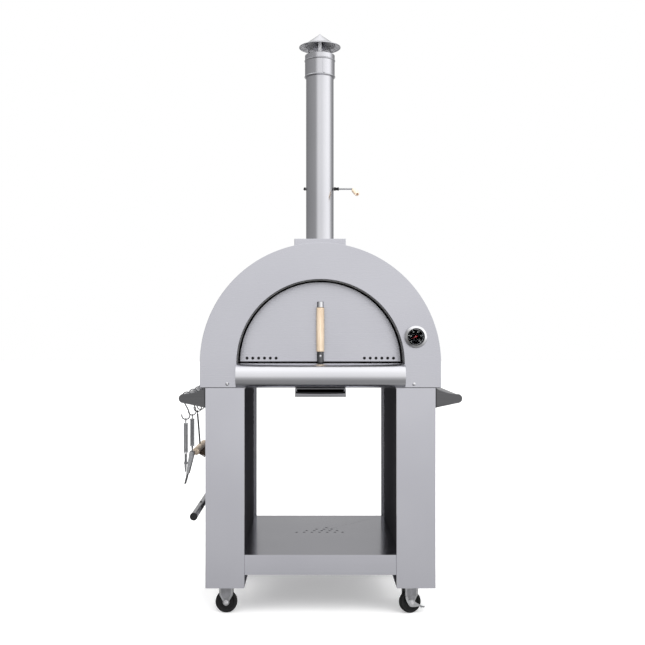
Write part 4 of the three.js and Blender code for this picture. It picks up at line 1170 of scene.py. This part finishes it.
def make_world():
    """White to the eye. For light and reflections it is a soft studio that follows the three tables."""
    world = bpy.data.worlds.new("studio")
    bpy.context.scene.world = world
    world.use_nodes = True
    tree = world.node_tree
    tree.nodes.clear()
    out = add_node(tree, "ShaderNodeOutputWorld")
    seen = add_node(tree, "ShaderNodeBackground", Color=(1, 1, 1, 1), Strength=1.0)
    studio = add_node(tree, "ShaderNodeBackground", Strength=1.0)
    mix = add_node(tree, "ShaderNodeMixShader")
    path = add_node(tree, "ShaderNodeLightPath")
    tree.links.new(path.outputs["Is Camera Ray"], mix.inputs[0])
    tree.links.new(studio.outputs[0], mix.inputs[1])
    tree.links.new(seen.outputs[0], mix.inputs[2])
    tree.links.new(mix.outputs[0], out.inputs[0])
    where = add_node(tree, "ShaderNodeTexCoord")
    parts = add_node(tree, "ShaderNodeSeparateXYZ")
    tree.links.new(where.outputs["Generated"], parts.inputs[0])

    forward = maths(tree, "MULTIPLY", parts.outputs["Y"], -1.0)
    around = maths(tree, "ARCTAN2", parts.outputs["X"], forward)
    turn = maths(tree, "MULTIPLY_ADD", around, 0.5 / HALF_TURN, 0.5)
    sides = level_ramp(tree, turn, SIDE_LIGHT, 360)
    height = maths(tree, "ARCSINE", parts.outputs["Z"])
    rise = maths(tree, "MULTIPLY_ADD", height, 1 / HALF_TURN, 0.5)
    levels = level_ramp(tree, rise, RISE_LIGHT, 180)
    roof = ramp(tree, rise, [(0.64, (0, 0, 0)), (0.80, (1, 1, 1))])
    around_light = blend(tree, roof, sides, (1, 1, 1))
    below = ramp(tree, rise, [(0.495, (1, 1, 1)), (0.53, (0, 0, 0))])
    low_back = level_ramp(tree, turn, LOW_BACK_LIGHT, 360)
    shaded = blend(tree, below, (1, 1, 1), low_back)
    lit = blend(tree, 1.0, around_light, levels, "MULTIPLY")
    tree.links.new(blend(tree, 1.0, lit, shaded, "MULTIPLY"), studio.inputs["Color"])


def area_light(name, place, target, size, watts):
    light = bpy.data.lights.new(name, "AREA")
    light.size = size
    light.energy = watts
    holder = bpy.data.objects.new(name, light)
    holder.location = place
    holder.rotation_euler = (Vector(target) - Vector(place)).to_track_quat("-Z", "Y").to_euler()
    holder.visible_camera = False
    holder.visible_glossy = False
    link(holder)


def make_floor():
    work = bmesh.new()
    bmesh.ops.create_grid(work, x_segments=2, y_segments=2, size=30)
    mesh = bpy.data.meshes.new("floor")
    work.to_mesh(mesh)
    work.free()
    floor = bpy.data.objects.new("floor", mesh)
    floor.location = (0, 0, -0.0002)
    link(floor)
    material, tree, bsdf = shader("pale_floor")
    bsdf.inputs["Base Color"].default_value = (0.93, 0.93, 0.93, 1)
    bsdf.inputs["Roughness"].default_value = 0.9
    bsdf.inputs["Emission Color"].default_value = (1, 1, 1, 1)
    bsdf.inputs["Emission Strength"].default_value = 0.30
    clear = add_node(tree, "ShaderNodeBsdfTransparent")
    mix = add_node(tree, "ShaderNodeMixShader")
    path = add_node(tree, "ShaderNodeLightPath")
    tree.links.new(path.outputs["Is Glossy Ray"], mix.inputs[0])
    tree.links.new(bsdf.outputs[0], mix.inputs[1])
    tree.links.new(clear.outputs[0], mix.inputs[2])
    tree.links.new(mix.outputs[0], tree.nodes["Material Output"].inputs[0])
    mesh.materials.append(material)


def make_camera():
    camera = bpy.data.cameras.new("camera")
    camera.sensor_width = 36
    camera.lens = CAMERA_LENS
    camera.shift_x = SHIFT_X
    camera.shift_y = SHIFT_Y
    camera.clip_end = 100
    holder = bpy.data.objects.new("camera", camera)
    holder.location = (CAMERA_X, FRONT - CAMERA_AWAY, CAMERA_Z)
    holder.rotation_euler = (HALF_TURN / 2, 0, 0)
    link(holder)
    bpy.context.scene.camera = holder


def set_view():
    bpy.context.scene.view_settings.view_transform = "Standard"
    bpy.context.scene.view_settings.look = "None"


make_camera()
make_world()
make_floor()
area_light("key", (1.6, -3.2, 3.6), (0, 0, 0.9), 3.0, 95)
area_light("fill", (-3.0, -2.6, 2.2), (0, 0, 0.8), 3.0, 45)
area_light("top", (0, 0.4, 4.2), (0, 0, 0), 4.0, 60)
set_view()
for build in (make_facade, make_shell, make_rear, make_lining, make_seal, make_lip, make_inside, make_door,
              make_door_handle, make_flue, make_damper, make_gauge, make_cart, make_handles, make_rail,
              make_casters, make_hooks, make_cutter, make_scraper, make_brush):
    build()
